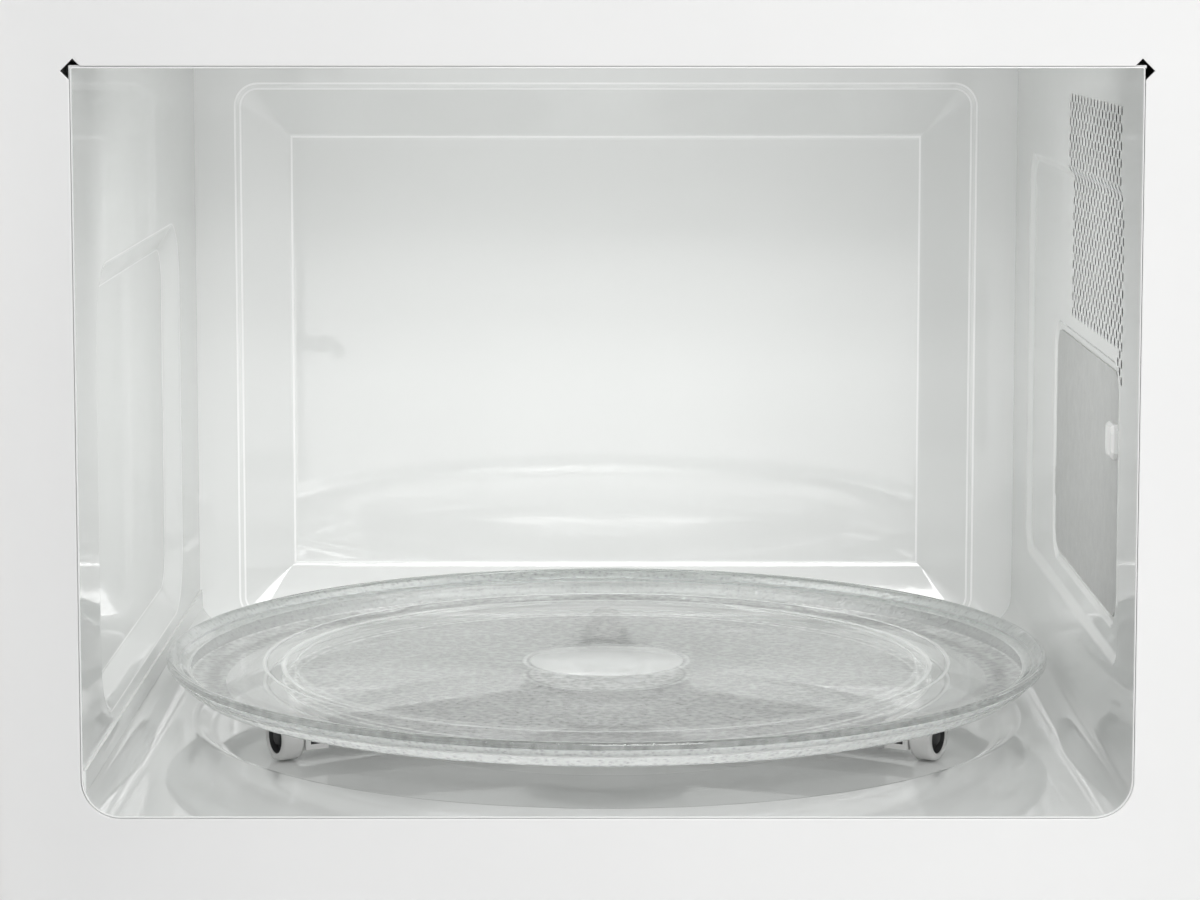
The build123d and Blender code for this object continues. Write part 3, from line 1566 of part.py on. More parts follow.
# Door panel: sealing plate with its window, and a channel with slotted fingers round it
with BuildPart(door_face(0)) as door_panel:
    with BuildSketch(door_face(door_inner)):
        with Locations((door_centre_u, door_centre_z)):
            cut_rectangle(seal_width, seal_height, seal_corner)
            Rectangle(screen_width, screen_height, mode=Mode.SUBTRACT)
    extrude(amount=sheet)
    with BuildSketch(door_face(door_inner)):
        with Locations((door_centre_u, door_centre_z)):
            cut_rectangle(seal_width, seal_height, seal_corner)
            cut_rectangle(
                seal_width - 2 * sheet, seal_height - 2 * sheet, seal_corner - sheet, Mode.SUBTRACT
            )
    extrude(amount=choke_depth + sheet)
    with BuildSketch(door_face(choke_back)):
        with Locations((door_centre_u, door_centre_z)):
            Rectangle(choke_across, choke_upward)
            cut_rectangle(
                seal_width - 2 * sheet, seal_height - 2 * sheet, seal_corner - sheet, Mode.SUBTRACT
            )
    extrude(amount=sheet)
    with BuildSketch(door_face(door_inner + cover_thickness)):
        with Locations((door_centre_u, door_centre_z)):
            Rectangle(choke_across, choke_upward)
            Rectangle(choke_across - 2 * sheet, choke_upward - 2 * sheet, mode=Mode.SUBTRACT)
    extrude(amount=choke_back - door_inner - cover_thickness)
    with BuildSketch(door_face(door_inner + cover_thickness)):
        with Locations((door_centre_u, door_centre_z)):
            with GridLocations(choke_pitch, choke_upward - sheet, choke_slots_wide, 2):
                Rectangle(choke_slot, 4 * sheet)
            with GridLocations(choke_across - sheet, choke_pitch, 2, choke_slots_high):
                Rectangle(4 * sheet, choke_slot)
    extrude(amount=choke_slot_depth, mode=Mode.SUBTRACT)
save(door_panel, "door_panel")

# Perforated screen behind the sealing plate, and the clear inner window set into it
with BuildPart() as door_screen:
    with BuildSketch(door_face(door_inner + sheet)):
        with Locations((door_centre_u, door_centre_z)):
            Rectangle(screen_width + 2 * screen_overlap, screen_height + 2 * screen_overlap)
            with GridLocations(screen_pitch_x, screen_pitch_z, screen_columns, screen_rows):
                Rectangle(screen_hole, screen_hole, mode=Mode.SUBTRACT)
    extrude(amount=screen_thickness)
save(door_screen, "door_screen")

with BuildPart() as inner_window:
    with BuildSketch(door_face(door_inner)):
        with Locations((door_centre_u, door_centre_z)):
            Rectangle(screen_width - 2 * gap, screen_height - 2 * gap)
    extrude(amount=sheet)
save(inner_window, "door_inner_window")

# Choke cover: a moulded ring over the channel, with a slot for each hook
cover_left = gap
cover_right = door_span - door_wall - gap
cover_low = door_low + door_wall + gap
cover_high = door_high - door_wall - gap
cover_corner = pocket_side + gap
hook_slot_low = hook_height / 2 + gap
hook_slot_high = hook_height / 2 + latch_travel + gap
with BuildPart() as choke_cover:
    with BuildSketch(door_face(door_inner)):
        Polygon(
            (cover_corner, cover_low),
            (cover_right, cover_low),
            (cover_right, cover_high),
            (cover_corner, cover_high),
            (cover_corner, pocket_wall_high - gap),
            (cover_left, pocket_wall_high - gap),
            (cover_left, pocket_wall_low + gap),
            (cover_corner, pocket_wall_low + gap),
            align=None,
        )
        with Locations((door_centre_u, door_centre_z)):
            cut_rectangle(
                seal_width + 2 * gap, seal_height + 2 * gap, seal_corner + gap, mode=Mode.SUBTRACT
            )
        for hook_z in (hook_low_z, hook_high_z):
            with Locations((hook_u, hook_z + (hook_slot_high - hook_slot_low) / 2)):
                Rectangle(hook_thickness + 4 * gap, hook_slot_high + hook_slot_low, mode=Mode.SUBTRACT)
    extrude(amount=cover_thickness)
save(choke_cover, "choke_cover")

# Hinge tabs: bent steel in the door, each with the hole for its pin and a leg on the door panel
leg_face = choke_back + sheet
with BuildPart(door_face(0)) as hinge_tabs:
    for tab_z, leg_z in (
        (pocket_wall_low, (pocket_wall_low, pocket_wall_low + tab_leg)),
        (pocket_wall_high - tab_thickness, (pocket_wall_high - tab_leg, pocket_wall_high)),
    ):
        block((-ear_radius, tab_reach), (tab_z, tab_z + tab_thickness), (-tab_back, ear_radius))
        block((cover_corner, tab_reach), leg_z, (leg_face, leg_face + tab_thickness))
        hole_centre = (0, tab_z + tab_thickness / 2, 0)
        rod(hole_centre, pin_radius + running, 2 * tab_thickness, along_y, Mode.SUBTRACT)
save(hinge_tabs, "door_hinge_tabs")

# Latch bar: a sliding bar with two hooks that reach through the front plate
bar_low = hook_low_z - latch_bar_overrun
bar_high = hook_high_z + latch_bar_overrun
bar_back = bar_front - latch_bar_thickness
hook_tip = door_inner - hook_reach
post_slot = latch_post_radius + gap
with BuildPart(door_face(0)) as latch_bar:
    block(
        (hook_u - latch_bar_width / 2, hook_u + latch_bar_width / 2),
        (bar_low, bar_high),
        (bar_back, bar_front),
    )
    for hook_z in (hook_low_z, hook_high_z):
        hook_side = (hook_u - hook_thickness / 2, hook_u + hook_thickness / 2)
        hook_z_span = (hook_z - hook_height / 2, hook_z + hook_height / 2)
        arm_under = hook_z_span[0] + barb_drop
        hook_corner = hinge_foot + door_across * hook_side[0]
        with BuildSketch(Plane(origin=hook_corner, x_dir=door_out, z_dir=-door_across)):
            Polygon(
                (bar_back, hook_z_span[0]),
                (bar_back, hook_z_span[1]),
                (hook_tip + barb_length, hook_z_span[1]),
                (hook_tip, arm_under + barb_drop),
                (hook_tip, hook_z_span[0]),
                (hook_tip + barb_length, hook_z_span[0]),
                (hook_tip + barb_length, arm_under),
                (door_inner, arm_under),
                (door_inner, hook_z_span[0]),
                align=None,
            )
        extrude(amount=-hook_thickness)
    for post_z in (hook_low_z + 35, hook_high_z - 35):
        block(
            (hook_u - post_slot, hook_u + post_slot),
            (post_z - latch_travel - post_slot, post_z + post_slot),
            (bar_back - 1, bar_front + 1),
            Mode.SUBTRACT,
        )
save(latch_bar, "latch_bar")

# Latch spring between the top of the bar and the rib of the door frame
spring_axis = hinge_foot + door_across * hook_u + door_out * (bar_front - latch_bar_thickness / 2)
spring_reach = spring_high - spring_low - 2 * (gap + latch_spring_wire / 2)
spring_steps = latch_spring_turns * latch_spring_sides
spring_points = []
for step in range(spring_steps + 1):
    bearing = 2 * pi * step / latch_spring_sides
    height = spring_low + gap + latch_spring_wire / 2 + spring_reach * step / spring_steps
    reach = Vector(cos(bearing), sin(bearing), 0) * latch_spring_radius
    spring_points.append(spring_axis + reach + Vector(0, 0, height))
with BuildPart() as latch_spring:
    with BuildLine() as coil_path:
        Polyline(*spring_points)
    with BuildSketch(Plane(origin=spring_points[0], z_dir=spring_points[1] - spring_points[0])):
        Rectangle(latch_spring_wire, latch_spring_wire)
    sweep(path=coil_path.line, transition=Transition.RIGHT)
save(latch_spring, "latch_spring")

# Control fascia: a hollow moulding with windows for the display, the buttons and the release
fascia_right = aperture_side - gap
fascia_low = aperture_low + gap
fascia_high = aperture_high - gap
fascia_x = (fascia_left + fascia_right) / 2
fascia_z = (fascia_low + fascia_high) / 2
fascia_inner = front_face_y + wall
button_places = {
    "button_power": (fascia_x - button_pitch, button_z, button_width),
    "button_defrost": (fascia_x, button_z, button_width),
    "button_clock": (fascia_x + button_pitch, button_z, button_width),
    "button_stop": (fascia_x - wide_button_pitch / 2, wide_button_z, wide_button_width),
    "button_start": (fascia_x + wide_button_pitch / 2, wide_button_z, wide_button_width),
}
board_width = module_right - module_left - 2 * gap
board_height = board_high - board_low
board_z = (board_low + board_high) / 2
board_centre_x = (module_left + module_right) / 2
boss_spread_x = board_width - board_margin
boss_spread_z = board_height - board_margin
with BuildPart() as control_fascia:
    with BuildSketch(at_depth(front_face_y)):
        with Locations((fascia_x, fascia_z)):
            Rectangle(fascia_right - fascia_left, fascia_high - fascia_low)
    extrude(amount=front_face_y)
    chamfer(control_fascia.faces().sort_by(Axis.Y)[0].edges(), fascia_edge)
    with BuildSketch(at_depth(fascia_inner)):
        with Locations((fascia_x, fascia_z)):
            Rectangle(fascia_right - fascia_left - 2 * wall, fascia_high - fascia_low - 2 * wall)
    extrude(amount=fascia_inner, mode=Mode.SUBTRACT)
    with BuildSketch(at_depth(fascia_inner)):
        with Locations((board_centre_x, board_z)):
            with GridLocations(boss_spread_x, boss_spread_z, 2, 2):
                Rectangle(2 * board_boss, 2 * board_boss)
    extrude(amount=-(board_front - fascia_inner))
    with BuildSketch(at_depth(front_face_y)):
        with Locations((fascia_x, display_z)):
            Rectangle(display_width, display_height)
        with Locations((fascia_x, dial_z)):
            Circle(dial_stem_radius + 1)
        with Locations((fascia_x, release_z)):
            Rectangle(release_width, release_height)
        for place_x, place_z, width in button_places.values():
            with Locations((place_x, place_z)):
                Rectangle(width, button_height)
    extrude(amount=-wall, mode=Mode.SUBTRACT)
save(control_fascia, "control_fascia")

# Display window behind its opening
with BuildPart() as display_window:
    with BuildSketch(at_depth(fascia_inner)):
        with Locations((fascia_x, display_z)):
            Rectangle(display_width + 2 * display_lip, display_height + 2 * display_lip)
    extrude(amount=-display_glass)
save(display_window, "display_window")

# Push buttons: a cap, a lip behind the fascia and a stem toward the switch on the board
cap_front = front_face_y - fascia_proud
lip_front = fascia_inner + gap
tact_top = board_front - tact_height
stem_end = tact_top - button_travel - gap
for name, (place_x, place_z, width) in button_places.items():
    with BuildPart() as push_button:
        with BuildSketch(at_depth(cap_front)):
            with Locations((place_x, place_z)):
                Rectangle(width - 2 * gap, button_height - 2 * gap)
        extrude(amount=-(lip_front - cap_front))
        chamfer(push_button.faces().sort_by(Axis.Y)[0].edges(), button_edge)
        with BuildSketch(at_depth(lip_front)):
            with Locations((place_x, place_z)):
                Rectangle(width + 2 * button_lip, button_height + 2 * button_lip)
        extrude(amount=-button_flange)
        with BuildSketch(at_depth(lip_front + button_flange)):
            with Locations((place_x, place_z)):
                Rectangle(button_stem, button_stem)
        extrude(amount=-(stem_end - lip_front - button_flange))
    save(push_button, name)

# Control board with a switch under every button and the display module
with BuildPart() as control_board:
    with BuildSketch(at_depth(board_front)):
        with Locations((board_centre_x, board_z)):
            Rectangle(board_width, board_height)
    extrude(amount=-board_thickness)
    with BuildSketch(at_depth(board_front)):
        for place_x, place_z, width in button_places.values():
            with Locations((place_x, place_z)):
                Rectangle(tact_side, tact_side)
    extrude(amount=tact_height)
    display_back = fascia_inner + display_glass
    with BuildSketch(at_depth(board_front)):
        with Locations((fascia_x, display_z)):
            Rectangle(display_width - 10, display_height + 2)
    extrude(amount=board_front - display_back - gap)
    with BuildSketch(at_depth(board_front + board_thickness)):
        with Locations((fascia_x + 24, board_z - 20)):
            Rectangle(36, 44)
        with Locations((fascia_x - 26, board_z + 8)):
            Rectangle(16, 60)
    extrude(amount=-12)
save(control_board, "control_board")

# Rotary encoder on the board, and the dial knob with its stem in the encoder's sleeve
encoder_front = board_front - encoder_height
sleeve_front = board_front - encoder_reach
with BuildPart() as rotary_encoder:
    block(
        (fascia_x - encoder_side / 2, fascia_x + encoder_side / 2),
        (encoder_front, board_front),
        (dial_z - encoder_side / 2, dial_z + encoder_side / 2),
    )
    prism((fascia_x, board_front, dial_z), encoder_sleeve, encoder_reach, (0, -1, 0), inlet_sides)
    bore_middle = (fascia_x, sleeve_front, dial_z)
    rod(bore_middle, dial_stem_radius + running, 2 * (encoder_reach - 2), along_y, Mode.SUBTRACT)
save(rotary_encoder, "rotary_encoder")

knob_front = cap_front - dial_length
knob_stem_end = board_front - 3
with BuildPart() as dial_knob:
    with BuildSketch(at_depth(cap_front)):
        with Locations((fascia_x, dial_z)):
            RegularPolygon(dial_radius, dial_sides)
    extrude(amount=dial_length - 1.5)
    with BuildSketch(at_depth(knob_front + 1.5)):
        with Locations((fascia_x, dial_z)):
            RegularPolygon(dial_radius, dial_sides)
    extrude(amount=1.5, taper=35)
    with BuildSketch(at_depth(cap_front)):
        with Locations((fascia_x, dial_z)):
            Circle(dial_stem_radius)
    extrude(amount=-(knob_stem_end - cap_front))
    groove_top = dial_z + dial_radius
    block(
        (fascia_x - 0.8, fascia_x + 0.8),
        (knob_front - 1, knob_front + 1),
        (dial_z + dial_radius / 2, groove_top),
        Mode.SUBTRACT,
    )
save(dial_knob, "dial_knob")

# Door release: a large cap with a stem that reaches back to the release lever
release_lip_back = lip_front + button_flange
stem_reach = pivot_y - lever_arm_half - plate_gap
with BuildPart() as release_button:
    with BuildSketch(at_depth(cap_front)):
        with Locations((fascia_x, release_z)):
            Rectangle(release_width - 2 * gap, release_height - 2 * gap)
    extrude(amount=-(release_lip_back - cap_front))
    chamfer(release_button.faces().sort_by(Axis.Y)[0].edges(), 2 * button_edge)
    with BuildSketch(at_depth(lip_front)):
        with Locations((fascia_x, release_z)):
            Rectangle(release_width + 2 * release_lip, release_height + 2 * release_lip)
    extrude(amount=-button_flange)
    block(
        (fascia_x - release_width / 2 + wall, fascia_x + release_width / 2 - wall),
        (cap_front + wall, release_lip_back + 1),
        (release_z - release_height / 2 + wall, release_z + release_height / 2 - wall),
        Mode.SUBTRACT,
    )
    block((lever_arm_left, lever_arm_right), (cap_front + 1, stem_reach), (stem_low, stem_high))
save(release_button, "release_button")

# Release lever: a shaft in the interlock bracket with a lifting arm under the hook and an arm
# behind the stem
with BuildPart() as release_lever:
    lever_ends = (ear_left[0], lever_arm_right)
    rod((sum(lever_ends) / 2, pivot_y, pivot_z), pivot_radius, lever_ends[1] - lever_ends[0], along_x)
    block(
        (lifter_left, lifter_right),
        (pivot_y - lever_hub, lever_pad_back),
        (pivot_z - lever_arm_half, pivot_z + lever_arm_half),
    )
    block(
        (lifter_left, lifter_right),
        (lever_pad_front, lever_pad_back),
        (pivot_z - lever_arm_half, lever_pad_z),
    )
    block(
        (lever_arm_left, lever_arm_right),
        (pivot_y - lever_arm_half, pivot_y + lever_arm_half),
        (lever_arm_low, pivot_z + lever_hub),
    )
save(release_lever, "release_lever")
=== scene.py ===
import json
from math import cos, pi, radians, sin, sqrt

import bmesh
import bpy
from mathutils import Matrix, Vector
from mathutils.geometry import delaunay_2d_cdt
from mathutils.kdtree import KDTree


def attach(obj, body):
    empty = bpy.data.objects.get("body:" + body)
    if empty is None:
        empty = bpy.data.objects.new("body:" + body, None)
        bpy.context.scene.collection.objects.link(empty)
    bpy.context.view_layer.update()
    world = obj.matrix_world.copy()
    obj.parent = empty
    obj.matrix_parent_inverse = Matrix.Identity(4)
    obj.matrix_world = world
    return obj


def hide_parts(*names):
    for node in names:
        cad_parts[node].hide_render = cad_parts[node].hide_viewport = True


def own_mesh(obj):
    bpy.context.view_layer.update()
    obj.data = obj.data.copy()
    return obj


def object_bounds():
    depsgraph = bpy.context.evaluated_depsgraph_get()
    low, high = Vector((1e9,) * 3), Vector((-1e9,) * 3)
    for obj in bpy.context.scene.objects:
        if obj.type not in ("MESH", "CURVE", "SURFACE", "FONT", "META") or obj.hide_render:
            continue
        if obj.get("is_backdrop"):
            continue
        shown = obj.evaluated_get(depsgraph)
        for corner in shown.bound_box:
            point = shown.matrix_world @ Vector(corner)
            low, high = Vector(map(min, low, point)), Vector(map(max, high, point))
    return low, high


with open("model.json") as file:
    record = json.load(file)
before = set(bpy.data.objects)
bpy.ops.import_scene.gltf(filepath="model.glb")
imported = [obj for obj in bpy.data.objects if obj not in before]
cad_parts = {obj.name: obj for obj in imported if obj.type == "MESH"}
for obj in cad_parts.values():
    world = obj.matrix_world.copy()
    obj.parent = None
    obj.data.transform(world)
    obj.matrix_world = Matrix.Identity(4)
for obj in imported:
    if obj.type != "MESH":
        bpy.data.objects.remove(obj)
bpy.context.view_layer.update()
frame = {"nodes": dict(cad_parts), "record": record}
nodes = frame["nodes"]
MM = 0.001

# Sizes that the CAD gives, in mm
LEFT, RIGHT, FLOOR, CEILING, BACK = -212.5, 72.5, 84.0, 287.0, 272.2
SHEET = 0.8
EAR_LOW, EAR_HIGH = 27.8, 342.8
AXIS = (-70.0, 137.5)
PAN_RADIUS = 10.2


# Materials
def feed(tree, made, inputs):
    """Gives a node's inputs numbers, or links them to the outputs of other nodes."""
    for key, value in inputs.items():
        if isinstance(value, bpy.types.NodeSocket):
            tree.links.new(value, made.inputs[key])
        else:
            made.inputs[key].default_value = value


def add_node(tree, kind, inputs, **settings):
    made = tree.nodes.new("ShaderNode" + kind)
    for key, value in settings.items():
        setattr(made, key, value)
    feed(tree, made, inputs)
    return made


class Nodes:
    """A small helper that builds one node material."""

    def __init__(self, name):
        self.material = bpy.data.materials.new(name)
        self.material.use_nodes = True
        self.tree = self.material.node_tree
        self.shader = next(n for n in self.tree.nodes if n.type == "BSDF_PRINCIPLED")
        self.coords = self.node("TexCoord", {})

    def node(self, kind, inputs, **settings):
        return add_node(self.tree, kind, inputs, **settings)

    def put(self, name, value):
        feed(self.tree, self.shader, {name: value})

    def point(self, scale=(1, 1, 1), move=(0, 0, 0)):
        inputs = {"Vector": self.coords.outputs["Object"], "Location": move, "Scale": scale}
        return self.node("Mapping", inputs).outputs["Vector"]

    def noise(self, scale, detail=3.0, rough=0.5, stretch=(1, 1, 1)):
        inputs = {"Vector": self.point(stretch), "Scale": scale, "Detail": detail, "Roughness": rough}
        return self.node("TexNoise", inputs).outputs["Fac"]

    def cells(self, scale, output="Distance"):
        return self.node("TexVoronoi", {"Vector": self.point(), "Scale": scale}).outputs[output]

    def crystals(self, scale):
        """Cells, each of one grey."""
        return self.node("RGBToBW", {"Color": self.cells(scale, "Color")}).outputs[0]

    def bands(self, direction, distortion):
        inputs = {"Vector": self.point(), "Scale": 320, "Distortion": distortion}
        return self.node("TexWave", inputs, wave_type="BANDS", bands_direction=direction).outputs["Fac"]

    def ramp(self, value, stops):
        made = self.node("ValToRGB", {"Fac": value})
        line = made.color_ramp.elements
        line[0].position, line[0].color = stops[0]
        line[1].position, line[1].color = stops[-1]
        for place, colour in stops[1:-1]:
            line.new(place).color = colour
        return made.outputs["Color"]

    def span(self, value, low, high, to_low, to_high):
        inputs = {"Value": value, "From Min": low, "From Max": high, "To Min": to_low, "To Max": to_high}
        return self.node("MapRange", inputs).outputs["Result"]

    def maths(self, kind, first, second):
        return self.node("Math", {0: first, 1: second}, operation=kind).outputs[0]

    def bump(self, height, strength, distance, under=None):
        inputs = {"Height": height, "Strength": strength, "Distance": distance}
        if under is not None:
            inputs["Normal"] = under
        return self.node("Bump", inputs).outputs["Normal"]

    def colour(self, value, low, high, first, second):
        self.put("Base Color", self.ramp(value, [(low, (*first, 1)), (high, (*second, 1))]))

    def rough(self, value, low, high):
        self.put("Roughness", self.span(value, 0.3, 0.7, low, high))


def tone(colour, factor):
    return tuple(min(1.0, c * factor) for c in colour)


def enamel(name, colour, gloss=(0.03, 0.07), peel=0.045, ior=1.5):
    """Stove enamel: even colour, orange-peel skin and faint wipe marks."""
    m = Nodes(name)
    m.colour(m.noise(9, 2), 0.3, 0.7, tone(colour, 0.985), tone(colour, 1.01))
    m.rough(m.noise(30, 4, 0.6), *gloss)
    skin = m.bump(m.noise(420, 1.5, 0.4), peel, 0.00012)
    m.put("Normal", m.bump(m.noise(60, 1), peel * 0.6, 0.0005, skin))
    m.put("IOR", ior)
    return m.material


def plastic(name, colour, rough=(0.32, 0.42), grain=2200, strength=0.12):
    """Moulded plastic: a fine spark-eroded grain, slight flow marks in the tone."""
    m = Nodes(name)
    flow = m.noise(14, 3, 0.55, (1, 0.4, 1))
    m.colour(flow, 0.3, 0.72, tone(colour, 0.965), tone(colour, 1.02))
    m.rough(m.noise(90, 3), *rough)
    m.put("Normal", m.bump(m.noise(grain, 2, 0.7), strength, 0.00006))
    m.put("IOR", 1.48)
    return m.material


def metal(name, colour, rough, streak=(1, 1, 1)):
    """Rolled or turned metal: fine streaks along the rolling direction."""
    m = Nodes(name)
    lines = m.noise(140, 5, 0.65, streak)
    m.colour(lines, 0.25, 0.75, tone(colour, 0.86), tone(colour, 1.08))
    m.rough(lines, *rough)
    m.put("Metallic", 1.0)
    m.put("Normal", m.bump(lines, 0.1, 0.00008))
    return m.material


def galvanised(name, colour):
    """Zinc-coated sheet: crystal spangle in tone and gloss, with rolling streaks."""
    m = Nodes(name)
    spangle = m.crystals(150)
    m.colour(spangle, 0.15, 0.85, tone(colour, 0.9), tone(colour, 1.04))
    m.put("Roughness", m.span(spangle, 0.1, 0.9, 0.32, 0.5))
    m.put("Metallic", 0.92)
    m.put("Normal", m.bump(m.noise(220, 3, stretch=(1, 0.08, 1)), 0.12, 0.00008))
    return m.material


def mica_sheet(name, colour):
    """Mica board: pressed flakes that glitter, in a warm grey sheet."""
    m = Nodes(name)
    flakes = m.crystals(900)
    cloud = m.noise(160, 5, 0.7)
    mixed = m.maths("ADD", m.maths("MULTIPLY", flakes, 0.5), m.maths("MULTIPLY", cloud, 0.6))
    m.colour(mixed, 0.2, 0.85, tone(colour, 0.80), tone(colour, 1.10))
    m.put("Roughness", m.span(flakes, 0.1, 0.9, 0.28, 0.6))
    m.put("Normal", m.bump(flakes, 0.35, 0.00012, m.bump(cloud, 0.4, 0.0003)))
    m.put("IOR", 1.55)
    return m.material


def clear_glass(name, colour):
    """Soda-lime glass with faint drawing waves."""
    m = Nodes(name)
    m.put("Transmission Weight", 1.0)
    m.put("IOR", 1.5)
    waves = m.noise(25, 2)
    m.colour(waves, 0.3, 0.7, tone(colour, 0.995), colour)
    m.put("Normal", m.bump(waves, 0.05, 0.0004))
    m.rough(waves, 0.0, 0.01)
    return m.material


# Tone and cover of the tray's faces, by radius in mm from its axis. The tone paints bright highlight rings
# on the ridges and dark shade bands beside them
TRAY_PAINTED_LIGHT_AND_COVER = [
    (0.0, 0.76, 0.66), (23.7, 0.76, 0.66), (24.2, 0.30, 0.70), (24.8, 0.36, 0.66), (25.1, 0.90, 0.50),
    (25.8, 0.88, 0.50), (26.2, 0.34, 0.66), (26.8, 0.68, 0.36), (95.4, 0.70, 0.36), (96.4, 0.97, 0.62),
    (97.8, 0.76, 0.30), (100.4, 0.97, 0.66), (101.6, 0.76, 0.26), (104.6, 0.76, 0.26), (105.2, 0.28, 0.80),
    (106.0, 0.98, 0.70), (107.2, 0.78, 0.28), (112.9, 0.78, 0.28), (113.4, 0.50, 0.55), (114.2, 0.62, 0.46),
    (120.2, 0.60, 0.46), (120.9, 0.38, 0.56), (123.5, 0.38, 0.56), (124.2, 0.64, 0.46), (128.4, 0.68, 0.46),
    (129.2, 0.98, 0.70), (130.0, 0.84, 0.40),
]
ZONE_END = 130


def glass_film(name, rough, dim=1.0, cover=1.0, grain=0.0, scale=1100):
    """Clear face of the tray that lets the floor under it be seen and be lit, with painted highlight rings
    and shade bands by radius.
    """
    m = Nodes(name)
    spot = m.point(move=(-AXIS[0] * MM, -AXIS[1] * MM, 0))
    flat = m.node("VectorMath", {0: spot, 1: (1, 1, 0)}, operation="MULTIPLY").outputs[0]
    reach = m.node("VectorMath", {0: flat}, operation="LENGTH").outputs["Value"]
    share = m.span(reach, 0, ZONE_END * MM, 0, 1)
    painted_ring_stops = [(r / ZONE_END, (dim * g, dim * g * 1.02, dim * g * 1.005, 1)) for r, g, _ in TRAY_PAINTED_LIGHT_AND_COVER]
    cover_stops = [(r / ZONE_END, (cover * c, cover * c, cover * c, 1)) for r, _, c in TRAY_PAINTED_LIGHT_AND_COVER]
    # Tone by radius: painted highlight rings and painted shade bands
    painted_rings = m.ramp(share, painted_ring_stops)
    m.put("Alpha", m.ramp(share, cover_stops))
    specks = m.noise(scale, 2.5, 0.6)
    lumps = m.cells(scale * 0.55)
    spread = m.span(m.maths("ADD", specks, lumps), 0.6, 1.4, 1.0 - grain, 1.0 + grain * 0.6)
    shade = m.node("MixRGB", {"Fac": 1.0, "Color1": painted_rings, "Color2": spread}, blend_type="MULTIPLY")
    m.put("Base Color", shade.outputs["Color"])
    m.rough(specks, *rough)
    m.put("IOR", 1.5)
    if grain:
        m.put("Normal", m.bump(lumps, 0.06 + grain, 0.0002, m.bump(specks, 0.04 + grain * 0.7, 0.00012)))
    return m.material


def rim_glass(name, colour):
    """Stippled outside of the tray's rim, with three painted highlight lines round it, white and less
    clear.
    """
    m = Nodes(name)
    m.put("IOR", 1.5)
    grains = m.noise(1000, 2.5, 0.55)
    lumps = m.cells(600)
    low_z, high_z, fade = 94, 105, 0.15
    share = m.span(m.node("SeparateXYZ", {0: m.point()}).outputs["Z"], low_z * MM, high_z * MM, 0, 1)
    stops = []
    # Three white lines at set heights: painted highlights along the rim
    for height, half in ((95.2, 0.16), (99.4, 0.22), (103.2, 0.35)):
        for off, level in ((-half - fade, 0), (-half, 1), (half, 1), (half + fade, 0)):
            stops.append(((height + off - low_z) / (high_z - low_z), (level, level, level, 1)))
    painted_highlight_lines = m.ramp(share, stops)
    grained = m.ramp(m.maths("ADD", grains, lumps), [(0.45, (*tone(colour, 0.62), 1)), (1.3, (*colour, 1))])
    mixed = m.node("MixRGB", {"Fac": painted_highlight_lines, "Color1": grained, "Color2": (0.97, 0.98, 0.975, 1)})
    m.put("Base Color", mixed.outputs["Color"])
    m.put("Transmission Weight", m.span(painted_highlight_lines, 0, 1, 0.58, 0.12))
    m.rough(grains, 0.14, 0.22)
    m.put("Normal", m.bump(lumps, 0.6, 0.00025, m.bump(grains, 0.42, 0.00015)))
    return m.material


def tinted(name, colour):
    """Dark glossy window with faint dust in the gloss."""
    m = Nodes(name)
    m.colour(m.noise(40, 4), 0.3, 0.7, tone(colour, 0.8), tone(colour, 1.2))
    m.rough(m.noise(700, 5, 0.8), 0.03, 0.07)
    m.put("IOR", 1.5)
    m.put("Coat Weight", 0.6)
    return m.material


def board(name, colour):
    """Circuit board: lacquer over copper tracks and pads."""
    m = Nodes(name)
    inputs = {"Vector": m.point((1, 0, 1)), "Scale": 130, "Mortar Size": 0.035}
    lines = m.node("TexBrick", inputs).outputs["Fac"]
    m.colour(lines, 0.2, 0.8, colour, tone(colour, 2.1))
    m.rough(m.noise(300, 3), 0.28, 0.4)
    m.put("Normal", m.bump(lines, 0.3, 0.0001))
    return m.material


def winding(name, colour):
    """Lacquered copper wire in layers."""
    m = Nodes(name)
    lines = m.bands("Z", 0.6)
    m.colour(lines, 0.1, 0.9, tone(colour, 0.45), tone(colour, 1.1))
    m.put("Metallic", 0.85)
    m.rough(m.noise(500, 3), 0.28, 0.42)
    m.put("Normal", m.bump(lines, 0.7, 0.0004))
    return m.material


def laminated(name, colour):
    """Stacked core plates, varnished, with the stack lines on their edges."""
    m = Nodes(name)
    lines = m.bands("Y", 0.2)
    m.colour(lines, 0.1, 0.9, tone(colour, 0.6), tone(colour, 1.15))
    m.put("Metallic", 0.6)
    m.rough(m.noise(300, 4), 0.35, 0.55)
    m.put("Normal", m.bump(lines, 0.4, 0.0002))
    return m.material


